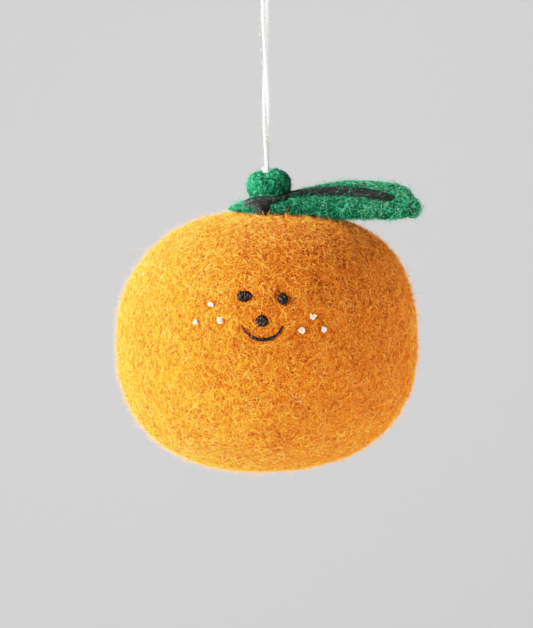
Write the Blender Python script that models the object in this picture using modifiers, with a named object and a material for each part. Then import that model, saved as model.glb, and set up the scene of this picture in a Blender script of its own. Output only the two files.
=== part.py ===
"""A hanging felted wool mandarin: an orange ball with a stitched face, a green leaf and stem ball, and a cord.

Metres, +Z up. The origin is inside the top of the cord's loop, where it hangs on its hook. The face looks
along -Y and the leaf points along +X. Pieces that touch keep a gap of GAP, and each sinks into a recess that is
cut GAP wider.
"""
import math

import bmesh
import bpy
from mathutils import Vector

GAP = 0.0003
TINY = 0.00001
STEP = 0.00002
ROUTE_STEP = 0.01
AT_A_TIP = 0.01

# The wool body is a rounded oblate shape, leaning a little, with one fuller and one flatter shoulder
BODY_CENTRE = Vector((0.00034, 0.0, -0.08363))
BODY_RADIUS = 0.03253
BODY_HALF_HEIGHT = 0.02793
BODY_SQUARENESS = 2.40
BODY_LEAN = math.radians(2.17)
FULL_SHOULDER = (math.radians(37.5), 0.0194)
FLAT_SHOULDER = (math.radians(149.1), -0.0207)
SHOULDER_SPREAD = 0.30
REST_LEVEL = -0.11147
BODY_AROUND = 44
BODY_RINGS = 30
OUTSIDE = 0.05
ABOVE = -0.04

# The doubled cord: two legs that twist round each other below a small open loop
CORD_DIAMETER = 0.00076
LEG_OFFSET = 0.00042
TWIST_PITCH = 0.044
TWIST_TOP = -0.012
CORD_FOOT = Vector((0.00056, 0.0, -0.0472))
LEG_POINTS = 16
LOOP_POINTS = 25
LOOP_HALF = (
    (0.00042, -0.0120),
    (0.00046, -0.0100),
    (0.00090, -0.0080),
    (0.00155, -0.0060),
    (0.00208, -0.0041),
    (0.00224, -0.0024),
    (0.00190, -0.0008),
    (0.00105, 0.00012),
    (0.0, 0.00038),
)

# The channel that the cord runs down, and the knot that holds it inside the body
BORE_RADIUS = 0.00115
POCKET_RADIUS = 0.00225
POCKET_TOP = -0.0612
POCKET_BOTTOM = -0.0678
POCKET_TAPER = 0.0012
BORE_ABOVE_FOOT = 0.004
BORE_AROUND = 14
KNOT_CENTRE = -0.0645
KNOT_RADIUS = 0.00125
KNOT_HALF_HEIGHT = 0.0017
KNOT_WRAP_RADIUS = 0.00115
KNOT_WRAP_THICKNESS = 0.00048
KNOT_WRAP_RISE = 0.0007
KNOT_TAIL = 0.0024
KNOT_AROUND = 14
KNOT_RINGS = 10
WRAP_AROUND = 16
WRAP_SIDES = 8

# The ball of green felt that the cord comes out of, split in two lobes by a crease
BALL_CENTRE = Vector((0.00089, 0.0, -0.0499))
BALL_RADIUS = 0.00488
BALL_HALF_HEIGHT = 0.0038
BALL_SQUARENESS = 2.35
CREASE_X = 0.00058
CREASE_WIDTH = 0.00075
CREASE_DEPTH = 0.0007
CREASE_FADE = 0.0015
LEFT_LOBE_DROP = 0.0004
DIMPLE_WIDTH = 0.0014
DIMPLE_DEPTH = 0.0007
BALL_AROUND = 30
BALL_RINGS = 20

# The leaf, as stations along it from its base lobe to its drooping tip:
# x, y, z of the middle of the felt, half width, tilt towards the face, arch, thickness
LEAF_STATIONS = (
    (-0.00785, -0.0014, -0.05496, 0.0052, 0.0, 0.0, 0.0014),
    (-0.00500, -0.0010, -0.05452, 0.0068, 1.0, 0.0, 0.0022),
    (-0.00200, -0.0008, -0.05409, 0.0075, 3.0, 0.0002, 0.0029),
    (0.00200, -0.0008, -0.05374, 0.0074, 6.5, 0.0003, 0.0032),
    (0.0060, -0.0010, -0.05347, 0.0070, 11.0, 0.0005, 0.0034),
    (0.0104, -0.0006, -0.05306, 0.0074, 16.0, 0.0007, 0.0036),
    (0.0164, 0.0000, -0.05248, 0.0081, 21.0, 0.0009, 0.0037),
    (0.0224, 0.0000, -0.05250, 0.0079, 22.5, 0.0009, 0.0037),
    (0.0270, -0.0003, -0.05268, 0.0074, 23.5, 0.0009, 0.0036),
    (0.0294, -0.0006, -0.05296, 0.0068, 23.0, 0.0008, 0.0035),
    (0.0309, -0.0012, -0.05345, 0.0058, 21.5, 0.0005, 0.0035),
    (0.0317, -0.0026, -0.05440, 0.0036, 12.0, 0.0002, 0.0039),
    (0.0337, -0.0032, -0.05480, 0.0029, 8.0, 0.0001, 0.0040),
)
LEAF_SQUARENESS = 3.0
# How the leaf narrows and thins to its two ends: over what share of the angle from the end, and how roundly
LEAF_BASE_END = (0.60, 0.85)
LEAF_BASE_LIP = (0.75, 0.70)
LEAF_TIP_END = (0.34, 0.60)
LEAF_TIP_LIP = (0.30, 0.60)
LEAF_LIES_TO = 0.0225
LEAF_AROUND = 24
LEAF_RINGS = 30
LEAF_SEARCH_END = 0.95
LEAF_SEARCH_STEP = 0.0005

# The black midrib, as stations on top of the leaf: x, how far across from the middle as a share of the half
# width (-1 is the near edge), and its own half width. It starts in front of the ball and runs out to the tip
STRIPE_STATIONS = (
    (-0.0044, -0.46, 0.0016),
    (-0.0028, -0.53, 0.0025),
    (-0.0006, -0.55, 0.0028),
    (0.0018, -0.41, 0.0024),
    (0.0056, -0.04, 0.0018),
    (0.0110, -0.01, 0.0017),
    (0.0165, -0.09, 0.0017),
    (0.0220, -0.23, 0.0016),
    (0.0260, -0.37, 0.0011),
    (0.0280, -0.42, 0.0006),
)
# Its wedge turned down over the front edge: x, angle round the leaf (-90 is the near edge) and half width
WEDGE_STATIONS = (
    (-0.00035, -125.0, 0.0007),
    (-0.00040, -94.0, 0.0012),
    (-0.00055, -70.0, 0.0018),
    (-0.00070, -50.0, 0.0022),
    (-0.00070, -32.0, 0.0016),
)
STRIPE_END_REACH = 0.35
STRIPE_SQUARENESS = 0.7
STRIPE_HALF_THICKNESS = 0.00055
STRIPE_SINK = 0.00022
STRIPE_AROUND = 10
STRIPE_RINGS = 26
WEDGE_RINGS = 12
LENGTHWISE_STEP = 0.0004
SHARE_STEP = 0.03
DEGREE_STEP = 2.0

# The stitched face: x and z of each stitch's middle, and its size
SATIN_HALF_THICKNESS = 0.00055
SATIN_RISE = 0.00015
SATIN_AROUND = 14
SATIN_RINGS = 8
RECESS_AROUND = 12
SATIN_PADS = {
    "eye_left": (-0.00408, -0.07137, 0.00157, 0.00126, -8.0),
    "eye_right": (0.00389, -0.07189, 0.00155, 0.00132, 52.0),
    "nose": (-0.00056, -0.07632, 0.00148, 0.00152, 0.0),
}
KNOT_STITCH_RADIUS = 0.00092
KNOT_STITCH_HALF_THICKNESS = 0.00055
KNOT_STITCH_AROUND = 10
KNOT_STITCH_RINGS = 6
KNOT_STITCHES = (
    (-0.01115, -0.07330),
    (-0.01427, -0.07711),
    (-0.00921, -0.07649),
    (0.01020, -0.07572),
    (0.00782, -0.07850),
    (0.01245, -0.07853),
)
MOUTH_POINTS = (
    (-0.00483, -0.07746),
    (-0.00355, -0.07914),
    (-0.00184, -0.08019),
    (-0.00013, -0.08039),
    (0.00157, -0.08004),
    (0.00286, -0.07913),
    (0.00389, -0.07754),
)
MOUTH_RADIUS = 0.00033
MOUTH_COUNT = 14
MOUTH_TIPS = 0.6
TAPER_SHARE = 0.25

ORANGE_WOOL = (0.83, 0.33, 0.02, 1.0)
GREEN_WOOL = (0.01, 0.19, 0.06, 1.0)
BLACK_WOOL = (0.018, 0.016, 0.018, 1.0)
BLACK_THREAD = (0.012, 0.012, 0.016, 1.0)
WHITE_THREAD = (0.86, 0.82, 0.74, 1.0)
WHITE_COTTON = (0.84, 0.82, 0.77, 1.0)


def clear_scene():
    for thing in list(bpy.data.objects):
        bpy.data.objects.remove(thing, do_unlink=True)


def new_collection(name):
    group = bpy.data.collections.new(name)
    bpy.context.scene.collection.children.link(group)
    return group


def fibre_material(name, colour, roughness):
    material = bpy.data.materials.new(name)
    material.use_nodes = True
    shader = material.node_tree.nodes["Principled BSDF"]
    shader.inputs["Base Color"].default_value = colour
    shader.inputs["Roughness"].default_value = roughness
    shader.inputs["Metallic"].default_value = 0.0
    return material


def add_piece(name, mesh, group, material=None):
    piece = bpy.data.objects.new(name, mesh)
    group.objects.link(piece)
    if material:
        mesh.materials.append(material)
    mesh.shade_smooth()
    return piece


def as_cutter(piece):
    piece.hide_render = True
    piece.display_type = "WIRE"
    return piece


def combine(piece, others, operation):
    for other in others:
        modifier = piece.modifiers.new(operation.lower() + " " + other.name, "BOOLEAN")
        modifier.operation = operation
        modifier.solver = "EXACT"
        modifier.object = other


def smooth_through(rows, t):
    """The row at t, 0 to 1, on a smooth curve through the rows, spaced by their first columns' distances."""
    columns = min(3, len(rows[0]))
    knots = [0.0]
    for before, after in zip(rows, rows[1:]):
        knots.append(knots[-1] + math.dist(before[:columns], after[:columns]))
    place = min(max(t, 0.0), 1.0) * knots[-1]
    index = 0
    while index < len(rows) - 2 and place > knots[index + 1]:
        index += 1

    def slope(i, column):
        low = max(i - 1, 0)
        high = min(i + 1, len(rows) - 1)
        return (rows[high][column] - rows[low][column]) / (knots[high] - knots[low])

    width = knots[index + 1] - knots[index]
    u = (place - knots[index]) / width
    result = []
    for column in range(len(rows[0])):
        start = rows[index][column]
        end = rows[index + 1][column]
        leave = slope(index, column) * width
        arrive = slope(index + 1, column) * width
        result.append(
            (2 * u**3 - 3 * u**2 + 1) * start
            + (u**3 - 2 * u**2 + u) * leave
            + (3 * u**2 - 2 * u**3) * end
            + (u**3 - u**2) * arrive
        )
    return result


def signed_power(value, power):
    return math.copysign(abs(value) ** power, value)


def sphere_mesh(name, around, rings, place):
    """A closed mesh: a sphere whose vertices go where place(angle from its pole, angle round it) says."""
    bm = bmesh.new()
    bmesh.ops.create_uvsphere(bm, u_segments=around, v_segments=rings, radius=1.0)
    for vertex in bm.verts:
        from_pole = math.acos(max(-1.0, min(1.0, vertex.co.z)))
        round_axis = math.atan2(vertex.co.y, vertex.co.x)
        vertex.co = place(from_pole, round_axis)
    if bm.calc_volume(signed=True) < 0.0:
        bmesh.ops.reverse_faces(bm, faces=bm.faces)
    mesh = bpy.data.meshes.new(name)
    bm.to_mesh(mesh)
    bm.free()
    return mesh


def body_reach(direction):
    """How far the wool reaches from the body's centre along a unit direction."""
    x = math.cos(BODY_LEAN) * direction.x + math.sin(BODY_LEAN) * direction.z
    z = math.cos(BODY_LEAN) * direction.z - math.sin(BODY_LEAN) * direction.x
    flat_part = (math.hypot(x, direction.y) / BODY_RADIUS) ** BODY_SQUARENESS
    tall_part = (abs(z) / BODY_HALF_HEIGHT) ** BODY_SQUARENESS
    reach = (flat_part + tall_part) ** (-1.0 / BODY_SQUARENESS)
    fullness = 1.0
    for angle, amount in (FULL_SHOULDER, FLAT_SHOULDER):
        shoulder = Vector((math.cos(angle), 0.0, math.sin(angle)))
        away = math.acos(max(-1.0, min(1.0, shoulder.dot(direction))))
        fullness += amount * math.exp(-((away / SHOULDER_SPREAD) ** 2))
    return reach * fullness


def in_body(point):
    offset = point - BODY_CENTRE
    return offset.length < body_reach(offset.normalized())


def body_point_from(start, inward):
    """The point on the wool's surface met from start, outside, going inward."""
    outside = 0.0
    inside = inward.length
    step = inward.normalized()
    while inside - outside > TINY / 10:
        middle = (outside + inside) / 2
        if in_body(start + step * middle):
            inside = middle
        else:
            outside = middle
    return start + step * inside


def face_point(x, z):
    return body_point_from(Vector((x, -OUTSIDE, z)), Vector((0.0, OUTSIDE, 0.0)))


def crown_height(x, y):
    return body_point_from(Vector((x, y, ABOVE)), Vector((0.0, 0.0, BODY_CENTRE.z - ABOVE))).z


def face_normal(x, z):
    across = face_point(x + STEP, z) - face_point(x - STEP, z)
    upward = face_point(x, z + STEP) - face_point(x, z - STEP)
    return across.cross(upward).normalized()


def body_mesh():
    def place(from_pole, round_axis):
        direction = Vector((
            math.sin(from_pole) * math.cos(round_axis),
            math.sin(from_pole) * math.sin(round_axis),
            math.cos(from_pole),
        ))
        return BODY_CENTRE + direction * body_reach(direction)

    return sphere_mesh("felt_body", BODY_AROUND, BODY_RINGS, place)


def flatten_foot(mesh):
    """Cuts the small flat spot that the ball rests on, as one face."""
    bm = bmesh.new()
    bm.from_mesh(mesh)
    bmesh.ops.bisect_plane(
        bm,
        geom=bm.verts[:] + bm.edges[:] + bm.faces[:],
        dist=TINY / 100,
        plane_co=(0.0, 0.0, REST_LEVEL),
        plane_no=(0.0, 0.0, -1.0),
        clear_outer=True,
    )
    rim = [edge for edge in bm.edges if edge.is_boundary]
    bmesh.ops.contextual_create(bm, geom=rim)
    bmesh.ops.recalc_face_normals(bm, faces=bm.faces)
    bm.to_mesh(mesh)
    bm.free()


def pad_mesh(name, x, z, size, turn, grow, around, rings):
    """A rounded cushion of stitches on the body's surface; size is its half width, height and thickness.

    grow makes its recess.
    """
    half_width, half_height, half_thickness = size
    normal = face_normal(x, z)
    across = Vector((0.0, 0.0, 1.0)).cross(normal).normalized()
    upward = normal.cross(across)
    middle = face_point(x, z) + normal * SATIN_RISE
    angle = math.radians(turn)
    side = across * math.cos(angle) + upward * math.sin(angle)
    top = upward * math.cos(angle) - across * math.sin(angle)

    def place(from_pole, round_axis):
        flat = math.sin(from_pole)
        return (
            middle
            + normal * (half_thickness + grow) * math.cos(from_pole)
            + side * (half_width + grow) * flat * math.cos(round_axis)
            + top * (half_height + grow) * flat * math.sin(round_axis)
        )

    return sphere_mesh(name, around, rings, place)


def tube_object(name, points, radius, group, tips=1.0):
    """A round tube along the points; tips is how thick its two ends are, as a part of its radius."""
    curve = bpy.data.curves.new(name, "CURVE")
    curve.dimensions = "3D"
    curve.bevel_depth = radius
    curve.bevel_resolution = 2
    curve.use_fill_caps = True
    spline = curve.splines.new("POLY")
    spline.points.add(len(points) - 1)
    last = len(points) - 1
    for index, point in enumerate(points):
        spline.points[index].co = (*point, 1.0)
        from_end = min(index, last - index) / last
        spline.points[index].radius = min(1.0, tips + (1.0 - tips) * from_end / TAPER_SHARE)
    tube = bpy.data.objects.new(name, curve)
    group.objects.link(tube)
    return tube


def tube_as_mesh(tube, group, material=None):
    """The tube as a closed mesh object of the same name, with its end caps welded on."""
    name = tube.name
    shaped = tube.evaluated_get(bpy.context.evaluated_depsgraph_get())
    mesh = bpy.data.meshes.new_from_object(shaped)
    matrix = tube.matrix_world.copy()
    bpy.data.objects.remove(tube, do_unlink=True)
    bm = bmesh.new()
    bm.from_mesh(mesh)
    bmesh.ops.remove_doubles(bm, verts=bm.verts, dist=TINY / 10)
    bm.to_mesh(mesh)
    bm.free()
    piece = add_piece(name, mesh, group, material)
    piece.matrix_world = matrix
    return piece


def mouth_route():
    route = []
    for index in range(MOUTH_COUNT):
        x, z = smooth_through(MOUTH_POINTS, index / (MOUTH_COUNT - 1))
        route.append(face_point(x, z))
    return route


def leaf_ring_point(t, angle, fullness=1.0, thickness_share=1.0, grow=0.0):
    """A point on the leaf's skin: t along the leaf, angle 0 on top, 90 degrees at the far edge."""
    x, y, z, half_width, tilt, arch, thickness = smooth_through(LEAF_STATIONS, t)
    ahead = Vector(smooth_through(LEAF_STATIONS, t + ROUTE_STEP)[:3])
    behind = Vector(smooth_through(LEAF_STATIONS, t - ROUTE_STEP)[:3])
    along = (ahead - behind).normalized()
    side = Vector((0.0, math.cos(math.radians(tilt)), math.sin(math.radians(tilt))))
    up = along.cross(side).normalized()
    power = 2.0 / LEAF_SQUARENESS
    across = signed_power(math.sin(angle), power)
    height = signed_power(math.cos(angle), power)
    middle = Vector((x, y, z))
    point = (
        middle
        + side * across * (half_width * fullness + grow)
        + up * height * (thickness / 2 * thickness_share + grow)
        - up * arch * across**2
    )
    return point


def leaf_mesh(name, grow=0.0):
    def place(from_pole, round_axis):
        t = (1.0 - math.cos(from_pole)) / 2.0
        end, lip = (LEAF_BASE_END, LEAF_BASE_LIP) if t < 0.5 else (LEAF_TIP_END, LEAF_TIP_LIP)
        fullness = min(1.0, math.sin(from_pole) / end[0]) ** end[1]
        thickness_share = min(1.0, math.sin(from_pole) / lip[0]) ** lip[1]
        at_end = fullness < AT_A_TIP
        point = leaf_ring_point(t, round_axis, fullness, thickness_share, 0.0 if at_end else grow)
        if point.x < LEAF_LIES_TO:
            floor = crown_height(point.x, point.y) + GAP
            point.z = max(point.z, floor - grow)
        return point

    return sphere_mesh(name, LEAF_AROUND, LEAF_RINGS, place)


def leaf_t_at(x):
    """How far along the leaf its middle reaches x."""
    low = 0.0
    high = LEAF_SEARCH_END
    while high - low > LEAF_SEARCH_STEP:
        middle = (low + high) / 2
        if smooth_through(LEAF_STATIONS, middle)[0] < x:
            low = middle
        else:
            high = middle
    return low


def on_leaf(x, angle):
    return leaf_ring_point(leaf_t_at(x), math.radians(angle))


def on_leaf_top(x, share):
    """A point on top of the leaf, share of the half width from its middle."""
    return on_leaf(x, math.degrees(math.asin(signed_power(share, LEAF_SQUARENESS / 2.0))))


def band_mesh(name, stations, on_skin, nudge, rings, grow):
    """A flat rounded band that follows the leaf's skin; nudge is a small step across it."""
    rows = [(*on_skin(x, across), x, across, half_width) for x, across, half_width in stations]

    def spot(q):
        x, across, _ = smooth_through(rows, q)[3:]
        return on_skin(x, across)

    def place(from_pole, round_axis):
        q = (1.0 - math.cos(from_pole)) / 2.0
        x, across, half_width = smooth_through(rows, q)[3:]
        along = (spot(min(q + ROUTE_STEP, 1.0)) - spot(max(q - ROUTE_STEP, 0.0))).normalized()
        lengthwise = on_skin(x + LENGTHWISE_STEP, across) - on_skin(x - LENGTHWISE_STEP, across)
        crosswise = on_skin(x, across + nudge) - on_skin(x, across - nudge)
        outward = lengthwise.cross(crosswise).normalized()
        side = outward.cross(along).normalized()
        share = min(1.0, math.sin(from_pole) / STRIPE_END_REACH) ** STRIPE_SQUARENESS
        wider = 0.0 if share < AT_A_TIP else grow
        sideways = signed_power(math.sin(round_axis), STRIPE_SQUARENESS) * (half_width * share + wider)
        half_thickness = STRIPE_HALF_THICKNESS * share + wider
        height = signed_power(math.cos(round_axis), STRIPE_SQUARENESS) * half_thickness
        return on_skin(x, across) + side * sideways + outward * (height - STRIPE_SINK)

    return sphere_mesh(name, STRIPE_AROUND, rings, place)


def stripe_mesh(name, grow=0.0):
    return band_mesh(name, STRIPE_STATIONS, on_leaf_top, SHARE_STEP, STRIPE_RINGS, grow)


def wedge_mesh(name, grow=0.0):
    return band_mesh(name, WEDGE_STATIONS, on_leaf, DEGREE_STEP, WEDGE_RINGS, grow)


def ball_mesh():
    def place(from_pole, round_axis):
        power = 2.0 / BALL_SQUARENESS
        flat = abs(math.sin(from_pole)) ** power
        point = BALL_CENTRE + Vector((
            BALL_RADIUS * flat * math.cos(round_axis),
            BALL_RADIUS * flat * math.sin(round_axis),
            BALL_HALF_HEIGHT * signed_power(math.cos(from_pole), power),
        ))
        inward = (BALL_CENTRE - point).normalized()
        from_crease = (point.x - CREASE_X) / CREASE_WIDTH
        upper = min(1.0, max(0.0, (point.z - BALL_CENTRE.z + CREASE_FADE) / (2.0 * CREASE_FADE)))
        point += inward * CREASE_DEPTH * math.exp(-(from_crease**2)) * upper
        from_dimple = math.hypot(point.x - CORD_FOOT.x, point.y - CORD_FOOT.y) / DIMPLE_WIDTH
        if from_pole < math.pi / 2:
            point.z -= DIMPLE_DEPTH * math.exp(-(from_dimple**2))
        if point.x < CREASE_X:
            point.z -= LEFT_LOBE_DROP * upper * min(1.0, (CREASE_X - point.x) / CREASE_WIDTH)
        return point

    return sphere_mesh("stem_ball", BALL_AROUND, BALL_RINGS, place)


def cord_axis(z):
    """The middle of the doubled cord at height z: it leans a little from the loop to the ball."""
    share = min(1.0, max(0.0, z / CORD_FOOT.z))
    return Vector((CORD_FOOT.x * share, CORD_FOOT.y * share, z))


def leg_point(z, sign):
    turn = 2.0 * math.pi * (TWIST_TOP - z) / TWIST_PITCH
    offset = Vector((math.cos(turn), math.sin(turn), 0.0)) * LEG_OFFSET * sign
    return cord_axis(z) + offset


def cord_route():
    """Up one leg, round the loop and down the other leg."""
    leg = [CORD_FOOT.z + (TWIST_TOP - CORD_FOOT.z) * index / LEG_POINTS for index in range(LEG_POINTS)]
    route = [leg_point(z, 1.0) for z in leg]
    outline = list(LOOP_HALF) + [(-x, z) for x, z in reversed(LOOP_HALF[:-1])]
    for index in range(LOOP_POINTS):
        x, z = smooth_through(outline, index / (LOOP_POINTS - 1))
        route.append(cord_axis(z) + Vector((x, 0.0, 0.0)))
    route += [leg_point(z, -1.0) for z in reversed(leg)]
    return route


def turned_mesh(name, profile):
    """The closed outline turned round the Z axis: radius and height, from the top down."""
    mesh = bpy.data.meshes.new(name)
    edges = [(index, index + 1) for index in range(len(profile) - 1)]
    mesh.from_pydata([(radius, 0.0, height) for radius, height in profile], edges, [])
    return mesh


def turned_object(name, profile, group, steps):
    piece = bpy.data.objects.new(name, turned_mesh(name, profile))
    group.objects.link(piece)
    piece.location = (CORD_FOOT.x, CORD_FOOT.y, 0.0)
    screw = piece.modifiers.new("turn", "SCREW")
    screw.steps = steps
    screw.render_steps = steps
    screw.use_merge_vertices = True
    screw.merge_threshold = TINY
    screw.use_normal_calculate = True
    return piece


def bore_cutter(group):
    top = CORD_FOOT.z + BORE_ABOVE_FOOT
    profile = [
        (0.0, top),
        (BORE_RADIUS, top),
        (BORE_RADIUS, POCKET_TOP),
        (POCKET_RADIUS, POCKET_TOP - POCKET_TAPER),
        (POCKET_RADIUS, POCKET_BOTTOM + POCKET_TAPER),
        (BORE_RADIUS, POCKET_BOTTOM),
        (0.0, POCKET_BOTTOM),
    ]
    return as_cutter(turned_object("cord_channel", profile, group, BORE_AROUND))


def knot_pieces(cutters):
    """The doubled cord inside, its lump of a knot and the knot's two wraps, to be joined in one."""
    stem_top = CORD_FOOT.z - GAP
    pieces = []
    for number, sign in enumerate((1.0, -1.0)):
        start = leg_point(CORD_FOOT.z, sign)
        points = [Vector((start.x, start.y, stem_top)), Vector((start.x, start.y, KNOT_CENTRE - KNOT_TAIL))]
        tube = tube_object("inner_leg_%d" % number, points, CORD_DIAMETER / 2, cutters)
        pieces.append(as_cutter(tube_as_mesh(tube, cutters)))
    for number, rise in enumerate((KNOT_WRAP_RISE, -KNOT_WRAP_RISE)):
        bpy.ops.mesh.primitive_torus_add(
            major_segments=WRAP_AROUND,
            minor_segments=WRAP_SIDES,
            major_radius=KNOT_WRAP_RADIUS,
            minor_radius=KNOT_WRAP_THICKNESS,
            location=(CORD_FOOT.x, CORD_FOOT.y, KNOT_CENTRE + rise),
        )
        wrap = bpy.context.object
        wrap.name = "knot_wrap_%d" % number
        for owner in list(wrap.users_collection):
            owner.objects.unlink(wrap)
        cutters.objects.link(wrap)
        pieces.append(as_cutter(wrap))
    return pieces


def knot_lump_mesh():
    def place(from_pole, round_axis):
        flat = KNOT_RADIUS * math.sin(from_pole)
        return Vector((
            CORD_FOOT.x + flat * math.cos(round_axis),
            CORD_FOOT.y + flat * math.sin(round_axis),
            KNOT_CENTRE + KNOT_HALF_HEIGHT * math.cos(from_pole),
        ))

    return sphere_mesh("cord_knot", KNOT_AROUND, KNOT_RINGS, place)


def make_body(parts, cutters, channel):
    mesh = body_mesh()
    flatten_foot(mesh)
    body = add_piece("felt_body", mesh, parts, fibre_material("orange wool", ORANGE_WOOL, 0.95))
    recesses = [channel]
    for name, (x, z, half_width, half_height, turn) in SATIN_PADS.items():
        size = (half_width, half_height, SATIN_HALF_THICKNESS)
        recess = pad_mesh(name + "_recess", x, z, size, turn, GAP, RECESS_AROUND, SATIN_RINGS)
        recesses.append(as_cutter(add_piece(recess.name, recess, cutters)))
    for number, (x, z) in enumerate(KNOT_STITCHES, 1):
        size = (KNOT_STITCH_RADIUS, KNOT_STITCH_RADIUS, KNOT_STITCH_HALF_THICKNESS)
        name = "cheek_recess_%d" % number
        recess = pad_mesh(name, x, z, size, 0.0, GAP, KNOT_STITCH_AROUND, KNOT_STITCH_RINGS)
        recesses.append(as_cutter(add_piece(recess.name, recess, cutters)))
    groove = tube_object("mouth_groove", mouth_route(), MOUTH_RADIUS + GAP, cutters)
    recesses.append(as_cutter(tube_as_mesh(groove, cutters)))
    combine(body, recesses, "DIFFERENCE")


def make_leaf(parts, cutters, channel):
    green = fibre_material("green wool leaf", GREEN_WOOL, 0.95)
    leaf = add_piece("felt_leaf", leaf_mesh("felt_leaf"), parts, green)
    grooves = [
        as_cutter(add_piece("stripe_groove", stripe_mesh("stripe_groove", GAP), cutters)),
        as_cutter(add_piece("wedge_groove", wedge_mesh("wedge_groove", GAP), cutters)),
    ]
    combine(leaf, grooves + [channel], "DIFFERENCE")
    black = fibre_material("black wool", BLACK_WOOL, 0.95)
    stripe = add_piece("leaf_stripe", stripe_mesh("leaf_stripe"), parts, black)
    wedge = as_cutter(add_piece("stripe_wedge", wedge_mesh("stripe_wedge"), cutters))
    combine(stripe, [wedge], "UNION")
    combine(stripe, [channel], "DIFFERENCE")
    return grooves


def make_ball(parts, cutters, channel, grooves):
    ball = add_piece("stem_ball", ball_mesh(), parts, fibre_material("green wool ball", GREEN_WOOL, 0.95))
    seat = as_cutter(add_piece("leaf_seat", leaf_mesh("leaf_seat", GAP), cutters))
    combine(ball, [seat] + grooves + [channel], "DIFFERENCE")


def make_cord(parts, cutters):
    tube = tube_object("hanging_cord", cord_route(), CORD_DIAMETER / 2, parts)
    tube.data.materials.append(fibre_material("cotton cord", WHITE_COTTON, 0.9))
    knot = add_piece("cord_knot", knot_lump_mesh(), parts, fibre_material("cotton knot", WHITE_COTTON, 0.9))
    combine(knot, knot_pieces(cutters), "UNION")


def make_face(parts):
    black = fibre_material("black thread", BLACK_THREAD, 0.7)
    white = fibre_material("white thread", WHITE_THREAD, 0.8)
    for name, (x, z, half_width, half_height, turn) in SATIN_PADS.items():
        size = (half_width, half_height, SATIN_HALF_THICKNESS)
        mesh = pad_mesh(name, x, z, size, turn, 0.0, SATIN_AROUND, SATIN_RINGS)
        add_piece(name, mesh, parts, black)
    for number, (x, z) in enumerate(KNOT_STITCHES, 1):
        name = "cheek_knot_%d" % number
        size = (KNOT_STITCH_RADIUS, KNOT_STITCH_RADIUS, KNOT_STITCH_HALF_THICKNESS)
        mesh = pad_mesh(name, x, z, size, 0.0, 0.0, KNOT_STITCH_AROUND, KNOT_STITCH_RINGS)
        add_piece(name, mesh, parts, white)
    mouth = tube_object("mouth", mouth_route(), MOUTH_RADIUS, parts, MOUTH_TIPS)
    mouth.data.materials.append(black)


def main():
    clear_scene()
    parts = new_collection("felt_mandarin_ornament")
    cutters = new_collection("cutters")
    channel = bore_cutter(cutters)
    make_body(parts, cutters, channel)
    grooves = make_leaf(parts, cutters, channel)
    make_ball(parts, cutters, channel, grooves)
    make_cord(parts, cutters)
    make_face(parts)


main()
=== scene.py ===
"""Dresses the hanging felted wool mandarin: wool felt and its fibres, stitches, cotton string and a studio.

Metres, +Z up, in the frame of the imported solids. Run it in Blender; each piece is an operator on the panel
Felt Fruit in the 3D view's sidebar.
"""

import math

import bmesh
import bpy
import numpy as np
from bpy.props import FloatProperty, FloatVectorProperty, IntProperty, PointerProperty
from mathutils import Matrix, Vector, noise
from mathutils.bvhtree import BVHTree


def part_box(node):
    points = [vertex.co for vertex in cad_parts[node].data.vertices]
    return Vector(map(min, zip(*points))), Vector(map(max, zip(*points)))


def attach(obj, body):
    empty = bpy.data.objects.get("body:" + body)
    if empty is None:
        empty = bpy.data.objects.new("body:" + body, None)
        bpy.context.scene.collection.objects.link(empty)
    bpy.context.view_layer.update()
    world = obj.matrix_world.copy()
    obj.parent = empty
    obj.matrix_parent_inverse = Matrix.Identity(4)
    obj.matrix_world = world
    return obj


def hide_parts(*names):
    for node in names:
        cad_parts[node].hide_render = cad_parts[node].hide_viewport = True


bl_info = {
    "name": "Felted Wool Mandarin",
    "version": (1, 0, 0),
    "blender": (4, 5, 0),
    "location": "3D View > Sidebar > Felt Fruit",
    "description": "Felts, stitches and hangs a wool mandarin with a leaf, on a cotton string",
    "category": "Add Mesh",
}

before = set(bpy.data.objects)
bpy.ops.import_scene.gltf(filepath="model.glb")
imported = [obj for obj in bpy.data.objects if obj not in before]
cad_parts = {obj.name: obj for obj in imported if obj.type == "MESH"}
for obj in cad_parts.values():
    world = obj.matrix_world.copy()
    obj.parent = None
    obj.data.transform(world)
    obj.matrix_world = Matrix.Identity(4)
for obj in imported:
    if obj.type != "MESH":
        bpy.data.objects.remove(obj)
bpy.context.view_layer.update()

BODY = "root"
HAIR_UV = "OFBake"
TONE_WIDTH = 0.006

# The ball of wool: a rounded oblate form that leans a little, with one fuller and one flatter shoulder
BALL_CENTRE = Vector((0.00054, 0.0, -0.08346))
BALL_RADIUS = 0.03222
BALL_HALF_HEIGHT = 0.02775
BALL_SQUARENESS = 2.40
BALL_LEAN = math.radians(2.17)
SHOULDERS = ((math.radians(37.5), 0.0194), (math.radians(149.1), -0.0207))
SHOULDER_SPREAD = 0.30
FOOT_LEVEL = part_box("felt_body")[0].z + 0.00032

# The stitched face: x and z of each stitch's middle, half width and half height
SATIN_STITCHES = {
    "eye_left": (-0.00420, -0.07150, 0.00157, 0.00146),
    "eye_right": (0.00385, -0.07203, 0.00148, 0.00168),
    "nose": (-0.00056, -0.07648, 0.00152, 0.00164),
}
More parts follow.
